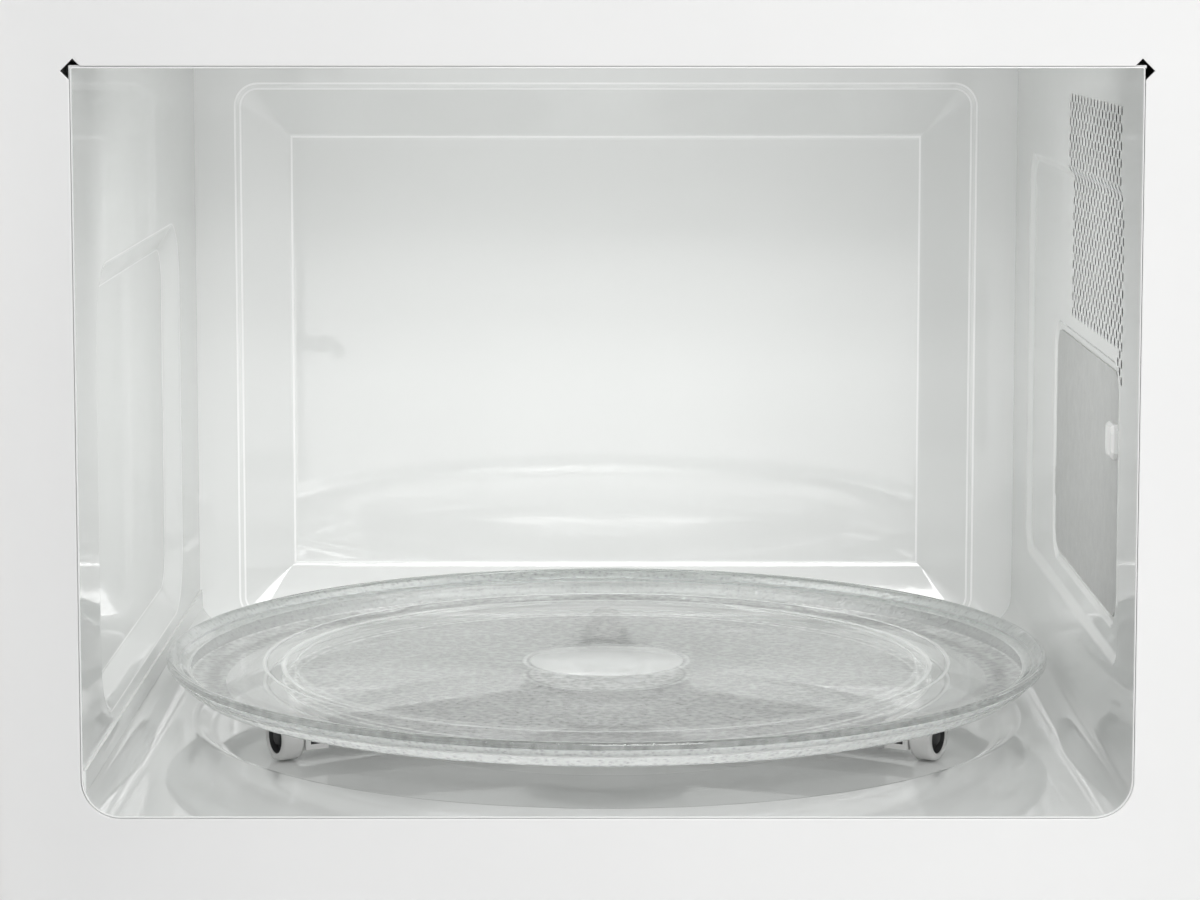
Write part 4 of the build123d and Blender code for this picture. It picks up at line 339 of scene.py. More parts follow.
LOOKS = {
    "cavity_enamel": (enamel, (0.785, 0.795, 0.785), (0.02, 0.05), 0.035, 1.9),
    "front_enamel": (enamel, (0.83, 0.83, 0.825), (0.16, 0.26), 0.06),
    "door_enamel": (enamel, (0.10, 0.10, 0.105), (0.12, 0.2), 0.08),
    "galvanized_sheet": (galvanised, (0.62, 0.63, 0.64)),
    "plated_steel": (metal, (0.66, 0.65, 0.60), (0.22, 0.36), (1, 0.1, 1)),
    "pin_steel": (metal, (0.62, 0.62, 0.62), (0.16, 0.28), (1, 1, 0.1)),
    "aluminium": (metal, (0.80, 0.81, 0.82), (0.26, 0.4), (0.1, 1, 1)),
    "core_iron": (laminated, (0.16, 0.15, 0.145)),
    "copper_wire": (winding, (0.72, 0.30, 0.14)),
    "magnetron_body": (metal, (0.66, 0.50, 0.36), (0.3, 0.45)),
    "mica": (mica_sheet, (0.56, 0.565, 0.555)),
    "front_plastic": (plastic, (0.80, 0.80, 0.795)),
    "button_plastic": (plastic, (0.82, 0.82, 0.815), (0.25, 0.34), 2600, 0.08),
    "knob_plastic": (plastic, (0.80, 0.80, 0.80), (0.24, 0.33), 2600, 0.08),
    "clip_plastic": (plastic, (0.86, 0.86, 0.85), (0.2, 0.3), 2600, 0.06),
    "roller_plastic": (plastic, (0.70, 0.70, 0.69), (0.28, 0.38), 1800, 0.1),
    "black_plastic": (plastic, (0.022, 0.022, 0.024), (0.38, 0.5)),
    "grey_plastic": (plastic, (0.34, 0.35, 0.36), (0.36, 0.5)),
    "board": (board, (0.05, 0.13, 0.06)),
    "display_tint": (tinted, (0.012, 0.013, 0.015)),
    "door_glass": (clear_glass, (0.58, 0.60, 0.60)),
    "clear_glass": (clear_glass, (0.94, 0.96, 0.955)),
    "tray_glass": (clear_glass, (0.955, 0.975, 0.965)),
    "lamp_glass": (clear_glass, (0.97, 0.96, 0.93)),
}
looks = {name: build(name, *values) for name, (build, *values) in LOOKS.items()}
stippled_glass = rim_glass("tray_glass_stippled", (0.93, 0.95, 0.94))
# Lighter enamel that paints highlight lines along the pressed bends and round the opening's lip
edge_enamel = enamel("edge_enamel", (0.95, 0.955, 0.95))
plate_top = glass_film("tray_plate_top", (0.05, 0.11), 1.0, 0.7, 0.16, 800)
plate_under = glass_film("tray_plate_under", (0.35, 0.5), 0.94, 1.12, 0.5, 800)
clear_face = glass_film("tray_clear_face", (0.02, 0.05), 1.06, 0.75)
# Darker grey for the support's arms: painted shade where they lie under the tray
arm_plastic = plastic("arm_plastic", (0.36, 0.365, 0.36), (0.3, 0.42), 1800, 0.1)
# Near-black: painted shade in the wheel recesses and in the support's pockets and on its axle heads; also
# the dial pointer's own dark colour
recess_shade = plastic("recess_shade", (0.035, 0.036, 0.037), (0.5, 0.6))
row_slots = {row["node"]: row["material_slot"] for row in frame["record"]["subparts"]}
for node_name, node_object in nodes.items():
    node_object.data.materials.clear()
    node_object.data.materials.append(looks[row_slots[node_name]])


# Mesh helpers, all in mm
def make(name, verts, faces, slot, body, replaces=(), smooth=True, sharp=38.0, extra=()):
    mesh = bpy.data.meshes.new(name)
    mesh.from_pydata([(x * MM, y * MM, z * MM) for x, y, z in verts], [], faces)
    mesh.validate()
    made = bpy.data.objects.new(name, mesh)
    bpy.context.scene.collection.objects.link(made)
    mesh.materials.append(looks[slot])
    for other in extra:
        mesh.materials.append(other)
    if smooth:
        mesh.shade_smooth()
        if sharp:
            mesh.set_sharp_from_angle(angle=radians(sharp))
    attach(made, body)
    if replaces:
        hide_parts(*replaces)
    return made


def outward(made):
    """Faces of a closed mesh look outward."""
    work = bmesh.new()
    work.from_mesh(made.data)
    bmesh.ops.recalc_face_normals(work, faces=work.faces)
    work.to_mesh(made.data)
    work.free()
    made.data.update()


def thicken(made, thickness):
    """Gives a pressed sheet its thickness behind its visible face."""
    solid = made.modifiers.new("thickness", "SOLIDIFY")
    solid.thickness = thickness * MM
    solid.offset = -1.0
    solid.use_even_offset = True
    solid.use_quality_normals = True
    graph = bpy.context.evaluated_depsgraph_get()
    mesh = bpy.data.meshes.new_from_object(made.evaluated_get(graph), depsgraph=graph)
    made.modifiers.clear()
    old = made.data
    made.data = mesh
    bpy.data.meshes.remove(old)
    mesh.name = made.name
    mesh.shade_smooth()
    mesh.set_sharp_from_angle(angle=radians(40))


def rounded(u0, u1, v0, v1, radius, steps):
    """A rounded rectangle's points, counter-clockwise from its right side's low end."""
    radius = max(radius, 0.01)
    points = []
    for cu, cv, start in (
        (u1 - radius, v0 + radius, -90),
        (u1 - radius, v1 - radius, 0),
        (u0 + radius, v1 - radius, 90),
        (u0 + radius, v0 + radius, 180),
    ):
        for i in range(steps + 1):
            a = radians(start + 90 * i / steps)
            points.append((cu + radius * cos(a), cv + radius * sin(a)))
    return points


def quads(first, rings, count, closed=False):
    """Faces between rings of equal count, from a first vertex on. Closed joins the last to the first."""
    faces = []
    for k in range(rings if closed else rings - 1):
        low, high = first + k * count, first + (k + 1) % rings * count
        for i in range(count):
            j = (i + 1) % count
            faces.append((low + i, low + j, high + j, high + i))
    return faces


def circle(cu, cv, radius, count=160):
    turns = [2 * pi * i / count for i in range(count)]
    return [(cu + radius * cos(a), cv + radius * sin(a)) for a in turns]


def offset_loop(points, distance):
    """Moves a counter-clockwise loop outward by a small distance, mitred."""
    moved = []
    count = len(points)
    for i, (u, v) in enumerate(points):
        pu, pv = points[i - 1]
        nu, nv = points[(i + 1) % count]
        e1 = Vector((v - pv, pu - u)).normalized()
        e2 = Vector((nv - v, u - nu)).normalized()
        both = e1 + e2
        scale = distance / max(0.35, 0.5 * both.length_squared)
        moved.append((u + both.x * scale, v + both.y * scale))
    return moved


def bends(run, rise, radius, steps=4):
    """The profile of a pressed slope with rounded bends at its head and foot, as (inset, depth)."""
    length = sqrt(run * run + rise * rise)
    du, dh = run / length, rise / length
    profile = [(-radius - 0.4, 0.0)]
    for i in range(steps + 1):
        t = i / steps
        a, c = (1 - t) ** 2, t * t
        profile.append((-radius * a + radius * du * c, radius * dh * c))
    for i in range(steps + 1):
        t = i / steps
        a, c = (1 - t) ** 2, t * t
        profile.append((run - radius * du * a + radius * c, rise - radius * dh * a))
    profile.append((run + radius + 0.4, rise))
    return profile


def inset_of(box, radius, u, v):
    """How far a point lies inside a rounded rectangle."""
    u0, u1, v0, v1 = box
    du = abs(u - (u0 + u1) / 2) - (u1 - u0) / 2 + radius
    dv = abs(v - (v0 + v1) / 2) - (v1 - v0) / 2 + radius
    return radius - sqrt(max(du, 0) ** 2 + max(dv, 0) ** 2) - min(max(du, dv), 0)


def depth_of(profile, inset):
    """Depth of a pressed profile at an inset."""
    if inset <= profile[0][0]:
        return profile[0][1]
    for (a, da), (b, db) in zip(profile, profile[1:]):
        if inset <= b:
            return da + (db - da) * (inset - a) / (b - a)
    return profile[-1][1]


def inside(ring, point):
    """Whether a flat point lies in a loop."""
    odd = False
    for (u0, v0), (u1, v1) in zip(ring, ring[1:] + ring[:1]):
        if (v0 > point.y) != (v1 > point.y) and point.x < u0 + (point.y - v0) * (u1 - u0) / (v1 - v0):
            odd = not odd
    return odd


class Sheet:
    """A pressed sheet: flat fields cut by loops, and slopes between loops of equal count."""

    def __init__(self, place):
        self.place, self.points, self.verts, self.faces, self.bright = place, [], [], [], set()

    def loop(self, points, depth):
        start = len(self.verts)
        for u, v in points:
            self.points.append((u, v))
            self.verts.append(self.place(u, v, depth))
        return list(range(start, start + len(points)))

    def slopes(self, loops):
        for first, second in zip(loops, loops[1:]):
            count = len(first)
            for i in range(count):
                j = (i + 1) % count
                self.faces.append((first[i], first[j], second[j], second[i]))

    def flat(self, outline, holes=()):
        """Fills a flat field. A triangle with its corners and its middle in one hole is left out."""
        ids, coords, edges, owner = [], [], [], []
        for number, ring in enumerate((outline, *holes)):
            start = len(ids)
            ids += ring
            owner += [number] * len(ring)
            coords += [Vector(self.points[k]) for k in ring]
            edges += [(start + i, start + (i + 1) % len(ring)) for i in range(len(ring))]
        rings = [[self.points[k] for k in ring] for ring in (outline, *holes)]
        _, _, faces, origin, _, _ = delaunay_2d_cdt(coords, edges, [], 1, 1e-6)
        for face in faces:
            corners = [origin[k][0] for k in face]
            owners = {owner[k] for k in corners}
            if len(owners) == 1:
                ring = rings[owners.pop()]
                middle = sum((coords[k] for k in corners), Vector((0, 0))) / 3
                if ring is not rings[0] and inside(ring, middle):
                    continue
            self.faces.append(tuple(ids[k] for k in corners))

    def pressed_field(self, outline, presses, punched, reach, squeeze, windows, steps=10):
        """One field with pressed forms and holes cut through flats and slopes alike.

        The punched holes are ovals, squeezed across by a factor, of one size.
        """
        points, edges = [], []
        shapes = [outline, *punched, *windows]
        for box, radius, profile in presses:
            u0, u1, v0, v1 = box
            for i, _ in profile:
                shapes.append(rounded(u0 + i, u1 - i, v0 + i, v1 - i, radius - i, steps))
        for shape in shapes:
            start = len(points)
            points += [Vector(spot) for spot in shape]
            edges += [(start + i, start + (i + 1) % len(shape)) for i in range(len(shape))]
        spots, _, faces, _, _, _ = delaunay_2d_cdt(points, edges, [], 1, 1e-5)
        centres = KDTree(len(punched))
        for k, shape in enumerate(punched):
            middle = sum((Vector(spot) for spot in shape), Vector((0, 0))) / len(shape)
            centres.insert((middle.x / squeeze, middle.y, 0), k)
        centres.balance()
        start = len(self.verts)
        for spot in spots:
            depth = sum(depth_of(profile, inset_of(box, radius, *spot)) for box, radius, profile in presses)
            self.points.append(tuple(spot))
            self.verts.append(self.place(spot.x, spot.y, depth))
        for face in faces:
            middle = sum((spots[k] for k in face), Vector((0, 0))) / len(face)
            if any(inside(window, middle) for window in windows):
                continue
            if centres.find((middle.x / squeeze, middle.y, 0))[2] < reach:
                continue
            self.faces.append(tuple(start + k for k in face))

    def press(self, box, radius, profile, steps, lit):
        """Loops of a pressed form inside a flat field. Gives its outermost and innermost loops.

        The bands of the profile named in lit take a lighter enamel, a painted highlight along the bends.
        """
        loops = []
        for inset, depth in profile:
            u0, u1, v0, v1 = box
            shape = rounded(u0 + inset, u1 - inset, v0 + inset, v1 - inset, radius - inset, steps)
            loops.append(self.loop(shape, depth))
        for band, (first, second) in enumerate(zip(loops, loops[1:])):
            start = len(self.faces)
            self.slopes([first, second])
            if band in lit:
                self.bright |= set(range(start, len(self.faces)))
        return loops[0], loops[-1]

    def finish(self, name, slot, body, replaces, facing, thickness=SHEET):
        facing = Vector(facing)
        turned = []
        for face in self.faces:
            corners = [Vector(self.verts[k]) for k in face]
            normal = Vector((0, 0, 0))
            for i in range(1, len(corners) - 1):
                normal += (corners[i] - corners[0]).cross(corners[i + 1] - corners[0])
            turned.append(face if normal.dot(facing) > 0 else tuple(reversed(face)))
        # Faces of the highlight bands take the lighter enamel, a painted highlight
        extra = [edge_enamel] if self.bright else ()
        made = make(name, self.verts, turned, slot, body, replaces, extra=extra)
        for k in self.bright:
            made.data.polygons[k].material_index = 1
        thicken(made, thickness)
        return made


def revolved(profile, centre, count):
    """Verts and faces of a profile of (radius, height) turned about a vertical axis."""
    verts, rings, faces = [], [], []
    for r, z in profile:
        if r < 1e-6:
            rings.append([len(verts)] * count)
            verts.append((centre[0], centre[1], z))
        else:
            rings.append(list(range(len(verts), len(verts) + count)))
            for i in range(count):
                a = 2 * pi * i / count
                verts.append((centre[0] + r * cos(a), centre[1] + r * sin(a), z))
    for first, second in zip(rings, rings[1:]):
        for i in range(count):
            j = (i + 1) % count
            face = []
            for k in (first[i], first[j], second[j], second[i]):
                if k not in face:
                    face.append(k)
            if len(face) > 2:
                faces.append(tuple(face))
    return verts, faces


# Cavity walls
WALL_LOW = 96.5
WALL_OUTLINE = [(SHEET, WALL_LOW), (BACK, WALL_LOW), (BACK, CEILING), (SHEET, CEILING)]

# Left wall: one large pressed panel
wall = Sheet(lambda u, v, d: (LEFT - d, u, v))
outline = wall.loop(WALL_OUTLINE, 0)
left_panel, panel_corner = (38, 224, 101, 230), 20
# The bands named last lie in the bends and take the lighter enamel as painted highlights
edge, inner = wall.press(left_panel, panel_corner, bends(8, 5, 1.0), 12, (2, 8))
wall.flat(outline, [edge])
wall.flat(inner)
wall.finish("left_wall", "cavity_enamel", "casing", ["cavity_left_wall"], (1, 0, 0))

# Right wall: a shallow panel, the recess of the mica cover, the feed window and the vent holes
wall = Sheet(lambda u, v, d: (RIGHT + d, u, v))
vent_columns, vent_rows, vent_pitch, vent_step = 32, 17, 3.3, 4.9
vent_radius, vent_sides, vent_squeeze = 1.4, 10, 0.9
vent_front, vent_top, vent_low = 37.0, 274.2, 207.5
long_columns, long_extra = 4, 9.5

# A thin skin, so that the vent holes stay open to a view along the wall
skin = 0.12
vent_turns = [2 * pi * (i + 0.5) / vent_sides for i in range(vent_sides)]
vents = []
for column in range(vent_columns):
    y = vent_front + column * vent_pitch
    low_end = vent_low - (long_extra if column < long_columns else 0)
    for row in range(vent_rows):
        z = vent_top - row * vent_step - (column % 2) * vent_step / 2
        if z >= low_end:
            vent = [(y + vent_radius * vent_squeeze * cos(t), z + vent_radius * sin(t)) for t in vent_turns]
            vents.append(vent)
panel_press = ((30, 233, 118, 252.5), 10, bends(2.5, 1.5, 0.7))
mica_press = ((44, 178, 126, 202.5), 11, bends(1.0, 1.0, 0.4, 3))
feed_window = rounded(62, 142, 142, 186, 3, 3)
tab_slot = rounded(175.0, 177.2, 145, 154.5, 0.5, 2)
vent_reach = vent_radius * cos(pi / vent_sides)
presses = [panel_press, mica_press]
wall.pressed_field(WALL_OUTLINE, presses, vents, vent_reach, vent_squeeze, [feed_window, tab_slot])
wall.finish("right_wall", "cavity_enamel", "casing", ["cavity_right_wall"], (-1, 0, 0), skin)

# Floor: a pan with rounded sides and the dished track of the turntable
pan = Sheet(lambda u, v, d: (u, v, FLOOR - d))
flat_left, flat_right = LEFT + PAN_RADIUS, RIGHT - PAN_RADIUS
outline = pan.loop([(flat_left, SHEET), (flat_right, SHEET), (flat_right, BACK), (flat_left, BACK)], 0)
TRACK_DEPTH, WELL_DEPTH, SHAFT_RADIUS = 3.7, 6.1, 8.0

# Corners of the dished section, as (radius, depth, length of its rounding)
corners = [(127.0, 0.0, 1.6), (122.0, TRACK_DEPTH, 1.6), (74.0, TRACK_DEPTH, 1.2), (71.0, WELL_DEPTH, 1.2)]
track = [(129.6, 0.0), (128.6, 0.0)]
for k, (radius, depth, turn) in enumerate(corners):
    corner = Vector((radius, depth))
    before = Vector(track[-1] if k == 0 else corners[k - 1][:2])
    after = Vector(corners[k + 1][:2] if k + 1 < len(corners) else (20.0, WELL_DEPTH))
    p0 = corner + (before - corner).normalized() * turn
    p2 = corner + (after - corner).normalized() * turn
    for i in range(5):
        t = i / 4
        p = p0 * (1 - t) ** 2 + corner * 2 * t * (1 - t) + p2 * t * t
        track.append((p.x, p.y))
track += [(69.0, WELL_DEPTH), (SHAFT_RADIUS + 0.6, WELL_DEPTH), (SHAFT_RADIUS, WELL_DEPTH)]
loops = [pan.loop(circle(*AXIS, r), d) for r, d in track]
pan.slopes(loops)
pan.flat(outline, [loops[0]])
side_steps, upstand = 8, 12.5
for side, centre in ((-1, flat_left), (1, flat_right)):
    last = [outline[0], outline[3]] if side < 0 else [outline[1], outline[2]]
    for i in range(1, side_steps + 1):
        a = radians(90 * i / side_steps)
        u = centre + side * PAN_RADIUS * sin(a)
        d = -PAN_RADIUS * (1 - cos(a))
        row = pan.loop([(u, SHEET), (u, BACK)], d)
        pan.faces.append((last[0], last[1], row[1], row[0]))
        last = row
    edge = centre + side * PAN_RADIUS
    row = pan.loop([(edge, SHEET), (edge, BACK)], -upstand)
    pan.faces.append((last[0], last[1], row[1], row[0]))
pan.finish("floor_pan", "cavity_enamel", "casing", ["cavity_floor"], (0, 0, 1))

# Front flange round the opening, with relief notches at its top corners, and the lip inside it
NOTCH_SIDE, NOTCH_OUT, NOTCH_DROP = 3.5, 0.3, 0.7


def opening(grow, notch=True):
    """The opening's outline, moved outward by a small distance, with or without its notches."""
    points = []
    corner_steps = 12
    for cx, start in ((LEFT + PAN_RADIUS, 180), (RIGHT - PAN_RADIUS, 270)):
        for i in range(corner_steps + 1):
            a = radians(start + 90 * i / corner_steps)
            points.append((cx + PAN_RADIUS * cos(a), FLOOR + PAN_RADIUS + PAN_RADIUS * sin(a)))
    lu, ru = LEFT + NOTCH_OUT, RIGHT - NOTCH_OUT
    if notch:
        reach = NOTCH_SIDE / sqrt(2)
        rv = CEILING - NOTCH_DROP
        foot = rv - reach + NOTCH_OUT
        points += [(RIGHT, foot), (ru + reach, rv), (ru, rv + reach), (ru - reach + NOTCH_DROP, CEILING)]
        points += [(lu + reach - NOTCH_DROP, CEILING), (lu, rv + reach), (lu - reach, rv), (LEFT, foot)]
    else:
        points += [(RIGHT, CEILING - NOTCH_OUT), (ru, CEILING), (lu, CEILING), (LEFT, CEILING - NOTCH_OUT)]
    return offset_loop(points, grow) if grow else points


CASING_SIDE, CASING_LOW, CASING_TOP = 277, 0.8, 352.0
casing_outline = rounded(-CASING_SIDE, CASING_SIDE, CASING_LOW, CASING_TOP, 2.0, 5)
hook_slots = [(102, 114, 99.5, 124.5), (102, 114, 251.5, 276.5)]
module_window = (140, 252, 34, 338)
hinge_slots = [(-256.4, -246.6, z - 0.3, z + 2.3) for z in (EAR_LOW, EAR_HIGH)]

plate = Sheet(lambda u, v, d: (u, d, v))
outline = plate.loop(casing_outline, 0)
flange_edge = [(1.0, 0.0), (0.8, 0.0), (0.62, 0.1), (0.55, 0.35)]
loops = [plate.loop(opening(g), d) for g, d in flange_edge]
plate.slopes(loops)
holes = [loops[0]]
for box in (*hook_slots, module_window, *hinge_slots):
    holes.append(plate.loop(rounded(*box, 1.0, 3), 0))
plate.flat(outline, holes)
plate.finish("front_flange", "front_enamel", "casing", ["front_plate"], (0, -1, 0), 0.75)

lip_profile = [(0.42, 0.6), (0.40, 0.12), (0.30, -0.08), (0.14, -0.10), (0.0, 0.08), (0.0, 0.5), (0.0, 0.8)]
lip_sheet = Sheet(lambda u, v, d: (u, d, v))
loops = [lip_sheet.loop(opening(g, False), d) for g, d in lip_profile]
lip_sheet.slopes(loops)
# The whole lip takes the lighter enamel: a painted highlight line round the opening
lip = make("opening_lip", lip_sheet.verts, lip_sheet.faces, "cavity_enamel", "casing", extra=[edge_enamel])
for polygon in lip.data.polygons:
    polygon.material_index = 1

# Back plate: the cavity's pressed step, the louvres and the cord inlet
plate = Sheet(lambda u, v, d: (u, BACK + d, v))
outline = plate.loop(casing_outline, 0)
back_step, step_corner = (-197.5, 57.5, 87, 273), 7
# The bands named last lie in the bends and take the lighter enamel as painted highlights
edge, inner = plate.press(back_step, step_corner, bends(17.5, 8, 1.3), 10, (1, 4, 8))
inlet = circle(250, 300, 7.0, 40)
holes = [edge, plate.loop(inlet, 0)]
louvre_columns, louvre_pitch_x, louvre_length = 2, 54, 46
louvre_rows, louvre_pitch_z, louvre_height = 6, 17, 5
louvre_left, louvre_low = 118, 125.0
hoods = []
for column in range(louvre_columns):
    u0 = louvre_left + column * louvre_pitch_x
    for row in range(louvre_rows):
        v0 = louvre_low + row * louvre_pitch_z
        slot = (u0, u0 + louvre_length, v0, v0 + louvre_height)
        holes.append(plate.loop(rounded(*slot, 2.4, 4), 0))
        hoods.append(slot)
plate.flat(outline, holes)
plate.flat(inner)
plate.finish("back_wall", "cavity_enamel", "casing", ["back_plate"], (0, -1, 0), 0.78)

# Pressed hoods over the louvre slots, outside the back plate
across, along = 24, 5
hood_rise, hood_side, hood_over, hood_under = 3.2, 0.6, 2.2, 0.2
verts, faces = [], []
for u0, u1, v0, v1 in hoods:
    start = len(verts)
    for i in range(across + 1):
        share = i / across
        bow = min(1.0, 4.5 * min(share, 1 - share)) ** 0.5
        u = u0 - hood_side + (u1 - u0 + 2 * hood_side) * share
        for j in range(along + 1):
            t = j / along
            lift = hood_rise * bow * sin(pi / 2 * (1 - t)) if i not in (0, across) else 0.0
            verts.append((u, BACK + SHEET + lift, v0 + (v1 - v0 + hood_over) * t - hood_under))
    for i in range(across):
        for j in range(along):
            k = start + i * (along + 1) + j
            faces.append((k, k + 1, k + along + 2, k + along + 1))
hood = make("louvre_hoods", verts, faces, "cavity_enamel", "casing")
thicken(hood, 0.6)

# Turntable: the tray's section as (radius, height), from its underside over its rim to its upper face
tray_section = [
    (0, 94.7), (40, 94.7), (80, 94.7), (100, 94.7), (118, 94.7), (121, 94.8), (124, 95.1), (127.5, 95.5),
    (129.6, 96.0), (131.2, 97.1), (133.0, 98.9), (134.6, 100.4), (135.6, 101.3), (136.0, 102.0),
    (136.0, 103.0), (135.8, 103.6), (135.2, 103.95), (134.5, 104.0), (133.9, 103.75), (133.2, 103.2),
    (131.8, 102.1), (130.3, 101.0), (129.5, 100.45), (128.6, 100.3), (122, 100.3), (114, 100.3),
    (108, 100.3), (106.6, 100.42), (106.0, 100.45), (105.4, 100.3), (103.2, 99.7), (101.2, 99.15),
    (100.2, 99.0), (97.5, 99.0), (96.8, 98.9), (60, 98.9), (26.2, 98.9), (25.9, 98.96), (25.4, 98.98),
    (25.1, 98.92), (24.8, 98.98), (10, 99.0), (0, 99.0),
]
tray_sides = 224
verts, faces = revolved(tray_section, AXIS, tray_sides)

# Three driving lugs under the tray's centre, which sit between the coupler's arms
lug_near, lug_far, lug_half = 7.5, 17, 4
for angle in (60, 180, 300):
    out = Vector((cos(radians(angle)), sin(radians(angle))))
    side = Vector((-out.y, out.x))
    first = len(verts)
    for z, shrink in ((94.9, 0.0), (91.2, 0.3), (90.2, 1.2)):
        near, far = lug_near + shrink, lug_far - shrink
        for reach, half in ((near, -1), (far, -1), (far, 1), (near, 1)):
            spot = out * reach + side * half * (lug_half - shrink)
            verts.append((AXIS[0] + spot.x, AXIS[1] + spot.y, z))
    faces += quads(first, 3, 4)
    faces.append(tuple(first + 8 + i for i in range(4)))
    faces.append(tuple(first + 3 - i for i in range(4)))
tray = make("turntable_tray", verts, faces, "tray_glass", "glass_tray", ["glass_tray"], True, 34,
            [stippled_glass, plate_top, plate_under, clear_face])
outward(tray)
STIPPLED, PLATE_TOP, PLATE_UNDER, CLEAR_FACE = 1, 2, 3, 4
plate_end, lug_top = 129.0, 94.0
for polygon in tray.data.polygons:
    c = polygon.center / MM
    r = sqrt((c.x - AXIS[0]) ** 2 + (c.y - AXIS[1]) ** 2)
    low = polygon.normal.z < 0
    if low and 129.5 < r < 135.8:
        polygon.material_index = STIPPLED
    elif r < plate_end and c.z > lug_top:
        grained = 113.5 < r < plate_end or 26.0 < r < 97.0
        polygon.material_index = (PLATE_UNDER if low else PLATE_TOP) if grained else CLEAR_FACE

# Roller wheels: a tyre with rounded shoulders, and a deep recess round the axle's snap head
WHEEL_Z = 87.5
HEADINGS = (90, 210, 330)


def turned(profile, centre, heading, count):
    """Verts and faces of a closed profile of (along, radius) turned about a level radial axis."""
    out = Vector((cos(radians(heading)), sin(radians(heading)), 0))
    side = Vector((-out.y, out.x, 0))
    verts = []
    foot = Vector((*centre, WHEEL_Z))
    for along, radius in profile:
        for i in range(count):
            a = 2 * pi * i / count
            spot = foot + out * along + side * radius * cos(a) + Vector((0, 0, radius * sin(a)))
            verts.append(tuple(spot))
    return verts, quads(0, len(profile), count, True)


tyre_sides, recess_rows = 48, (11, 12, 13)
tyre = [
    (106.5, 2.35), (106.5, 5.9), (106.7, 6.5), (107.2, 6.9), (107.9, 7.0), (112.1, 7.0), (112.8, 6.9),
    (113.3, 6.5), (113.5, 5.9), (113.5, 5.2), (113.35, 4.95), (113.0, 4.85), (111.15, 4.75), (111.1, 2.35),
]
for number, heading in enumerate(HEADINGS, 1):
    verts, faces = turned(tyre, AXIS, heading, tyre_sides)
    wheel = make(f"wheel_{number}_tyre", verts, faces, row_slots["roller_wheel_1"], f"wheel_{number}",
                 [f"roller_wheel_{number}"], extra=[recess_shade])
    outward(wheel)
    # The recess rows take the near-black: painted shade in the recess
    for k, polygon in enumerate(wheel.data.polygons):
        if k // tyre_sides in recess_rows:
            polygon.material_index = 1


# Roller support: a hub ring, three ribbed arms, and an end block with pockets and an axle on each
HUB_LOW = 84.0
ARM_NEAR, ARM_FAR, BLOCK_NEAR, BLOCK_FAR = 24.0, 99.0, 98.7, 106.2
ARM_WIDE, ARM_NARROW, RIB_HIGH, RIB_THICK, RIB_FOOT, WEB_HIGH = 30.0, 13.0, 6.0, 1.8, 2.1, 2.5
BLOCK_HALF, BLOCK_HIGH, POCKET_DEEP = 6.5, 8.5, 2.2


def on_arm(heading, along, across, up):
    """A spot by an arm: along its heading from the axis, across it, and up from the hub's foot."""
    out = Vector((cos(radians(heading)), sin(radians(heading)), 0))
    side = Vector((-out.y, out.x, 0))
    spot = Vector((*AXIS, 0)) + out * along + side * across
    return (spot.x, spot.y, HUB_LOW + up)


def arm_section(along):
    """The arm's section as (across, up): a web between two ribs, narrower further out."""
    half = (ARM_WIDE + (ARM_NARROW - ARM_WIDE) * (along / BLOCK_FAR)) / 2
    rib = [(-half, 0), (-half, RIB_HIGH), (-half + RIB_THICK, RIB_HIGH), (-half + RIB_FOOT, WEB_HIGH)]
    return rib + [(-across, up) for across, up in reversed(rib)]


hub = [(19.5, 84.3), (19.8, HUB_LOW), (26.7, HUB_LOW), (27.0, 84.3), (27.0, 90.5), (26.5, 91.0),
       (20.0, 91.0), (19.5, 90.5), (19.5, 84.3)]
block = [(-BLOCK_HALF, 0.0), (BLOCK_HALF, 0.0), (BLOCK_HALF, BLOCK_HIGH), (-BLOCK_HALF, BLOCK_HIGH)]
pocket = [(100.4, 1.6), (104.6, 1.6), (104.6, 5.0), (100.4, 5.0)]
axle = [(105.5, 0.01), (105.5, 2.0), (111.4, 2.0), (111.6, 2.45), (112.0, 2.55), (112.7, 2.3), (113.1, 1.7),
        (113.1, 0.01)]
arm_stations = 12
verts, faces = revolved(hub, AXIS, 96)
pocket_faces = set()
for heading in HEADINGS:
    start = len(verts)
    for i in range(arm_stations + 1):
        along = ARM_NEAR + (ARM_FAR - ARM_NEAR) * (i / arm_stations)
        verts += [on_arm(heading, along, across, up) for across, up in arm_section(along)]
    faces += quads(start, arm_stations + 1, 8)
    for first in (start, start + arm_stations * 8):
        for end in ((0, 1, 2, 3), (0, 3, 4, 7), (4, 5, 6, 7)):
            faces.append(tuple(first + k for k in end))

    start = len(verts)
    for along in (BLOCK_NEAR, BLOCK_FAR):
        verts += [on_arm(heading, along, across, up) for across, up in block]
    for side in ((0, 1, 2, 3), (4, 5, 6, 7), (0, 1, 5, 4), (3, 2, 6, 7)):
        faces.append(tuple(start + k for k in side))
    for low, high, sign in ((start + 1, start + 2, 1), (start, start + 3, -1)):
        ring = [low, low + 4, high + 4, high]
        inner_ring, floor_ring = len(verts), len(verts) + 4
        for depth in (0.0, POCKET_DEEP):
            verts += [on_arm(heading, along, sign * (BLOCK_HALF - depth), up) for along, up in pocket]
        for k in range(4):
            n = (k + 1) % 4
            faces.append((ring[k], ring[n], inner_ring + n, inner_ring + k))
            pocket_faces.add(len(faces))
            faces.append((inner_ring + k, inner_ring + n, floor_ring + n, floor_ring + k))
        pocket_faces.add(len(faces))
        faces.append(tuple(floor_ring + k for k in range(4)))

    axle_verts, axle_faces = turned(axle, AXIS, heading, 24)
    start = len(verts)
    verts += axle_verts
    faces += [tuple(start + k for k in face) for face in axle_faces]
support = make("roller_support", verts, faces, row_slots["roller_ring"], "roller_ring", ["roller_ring"],
               extra=[recess_shade, arm_plastic])
outward(support)
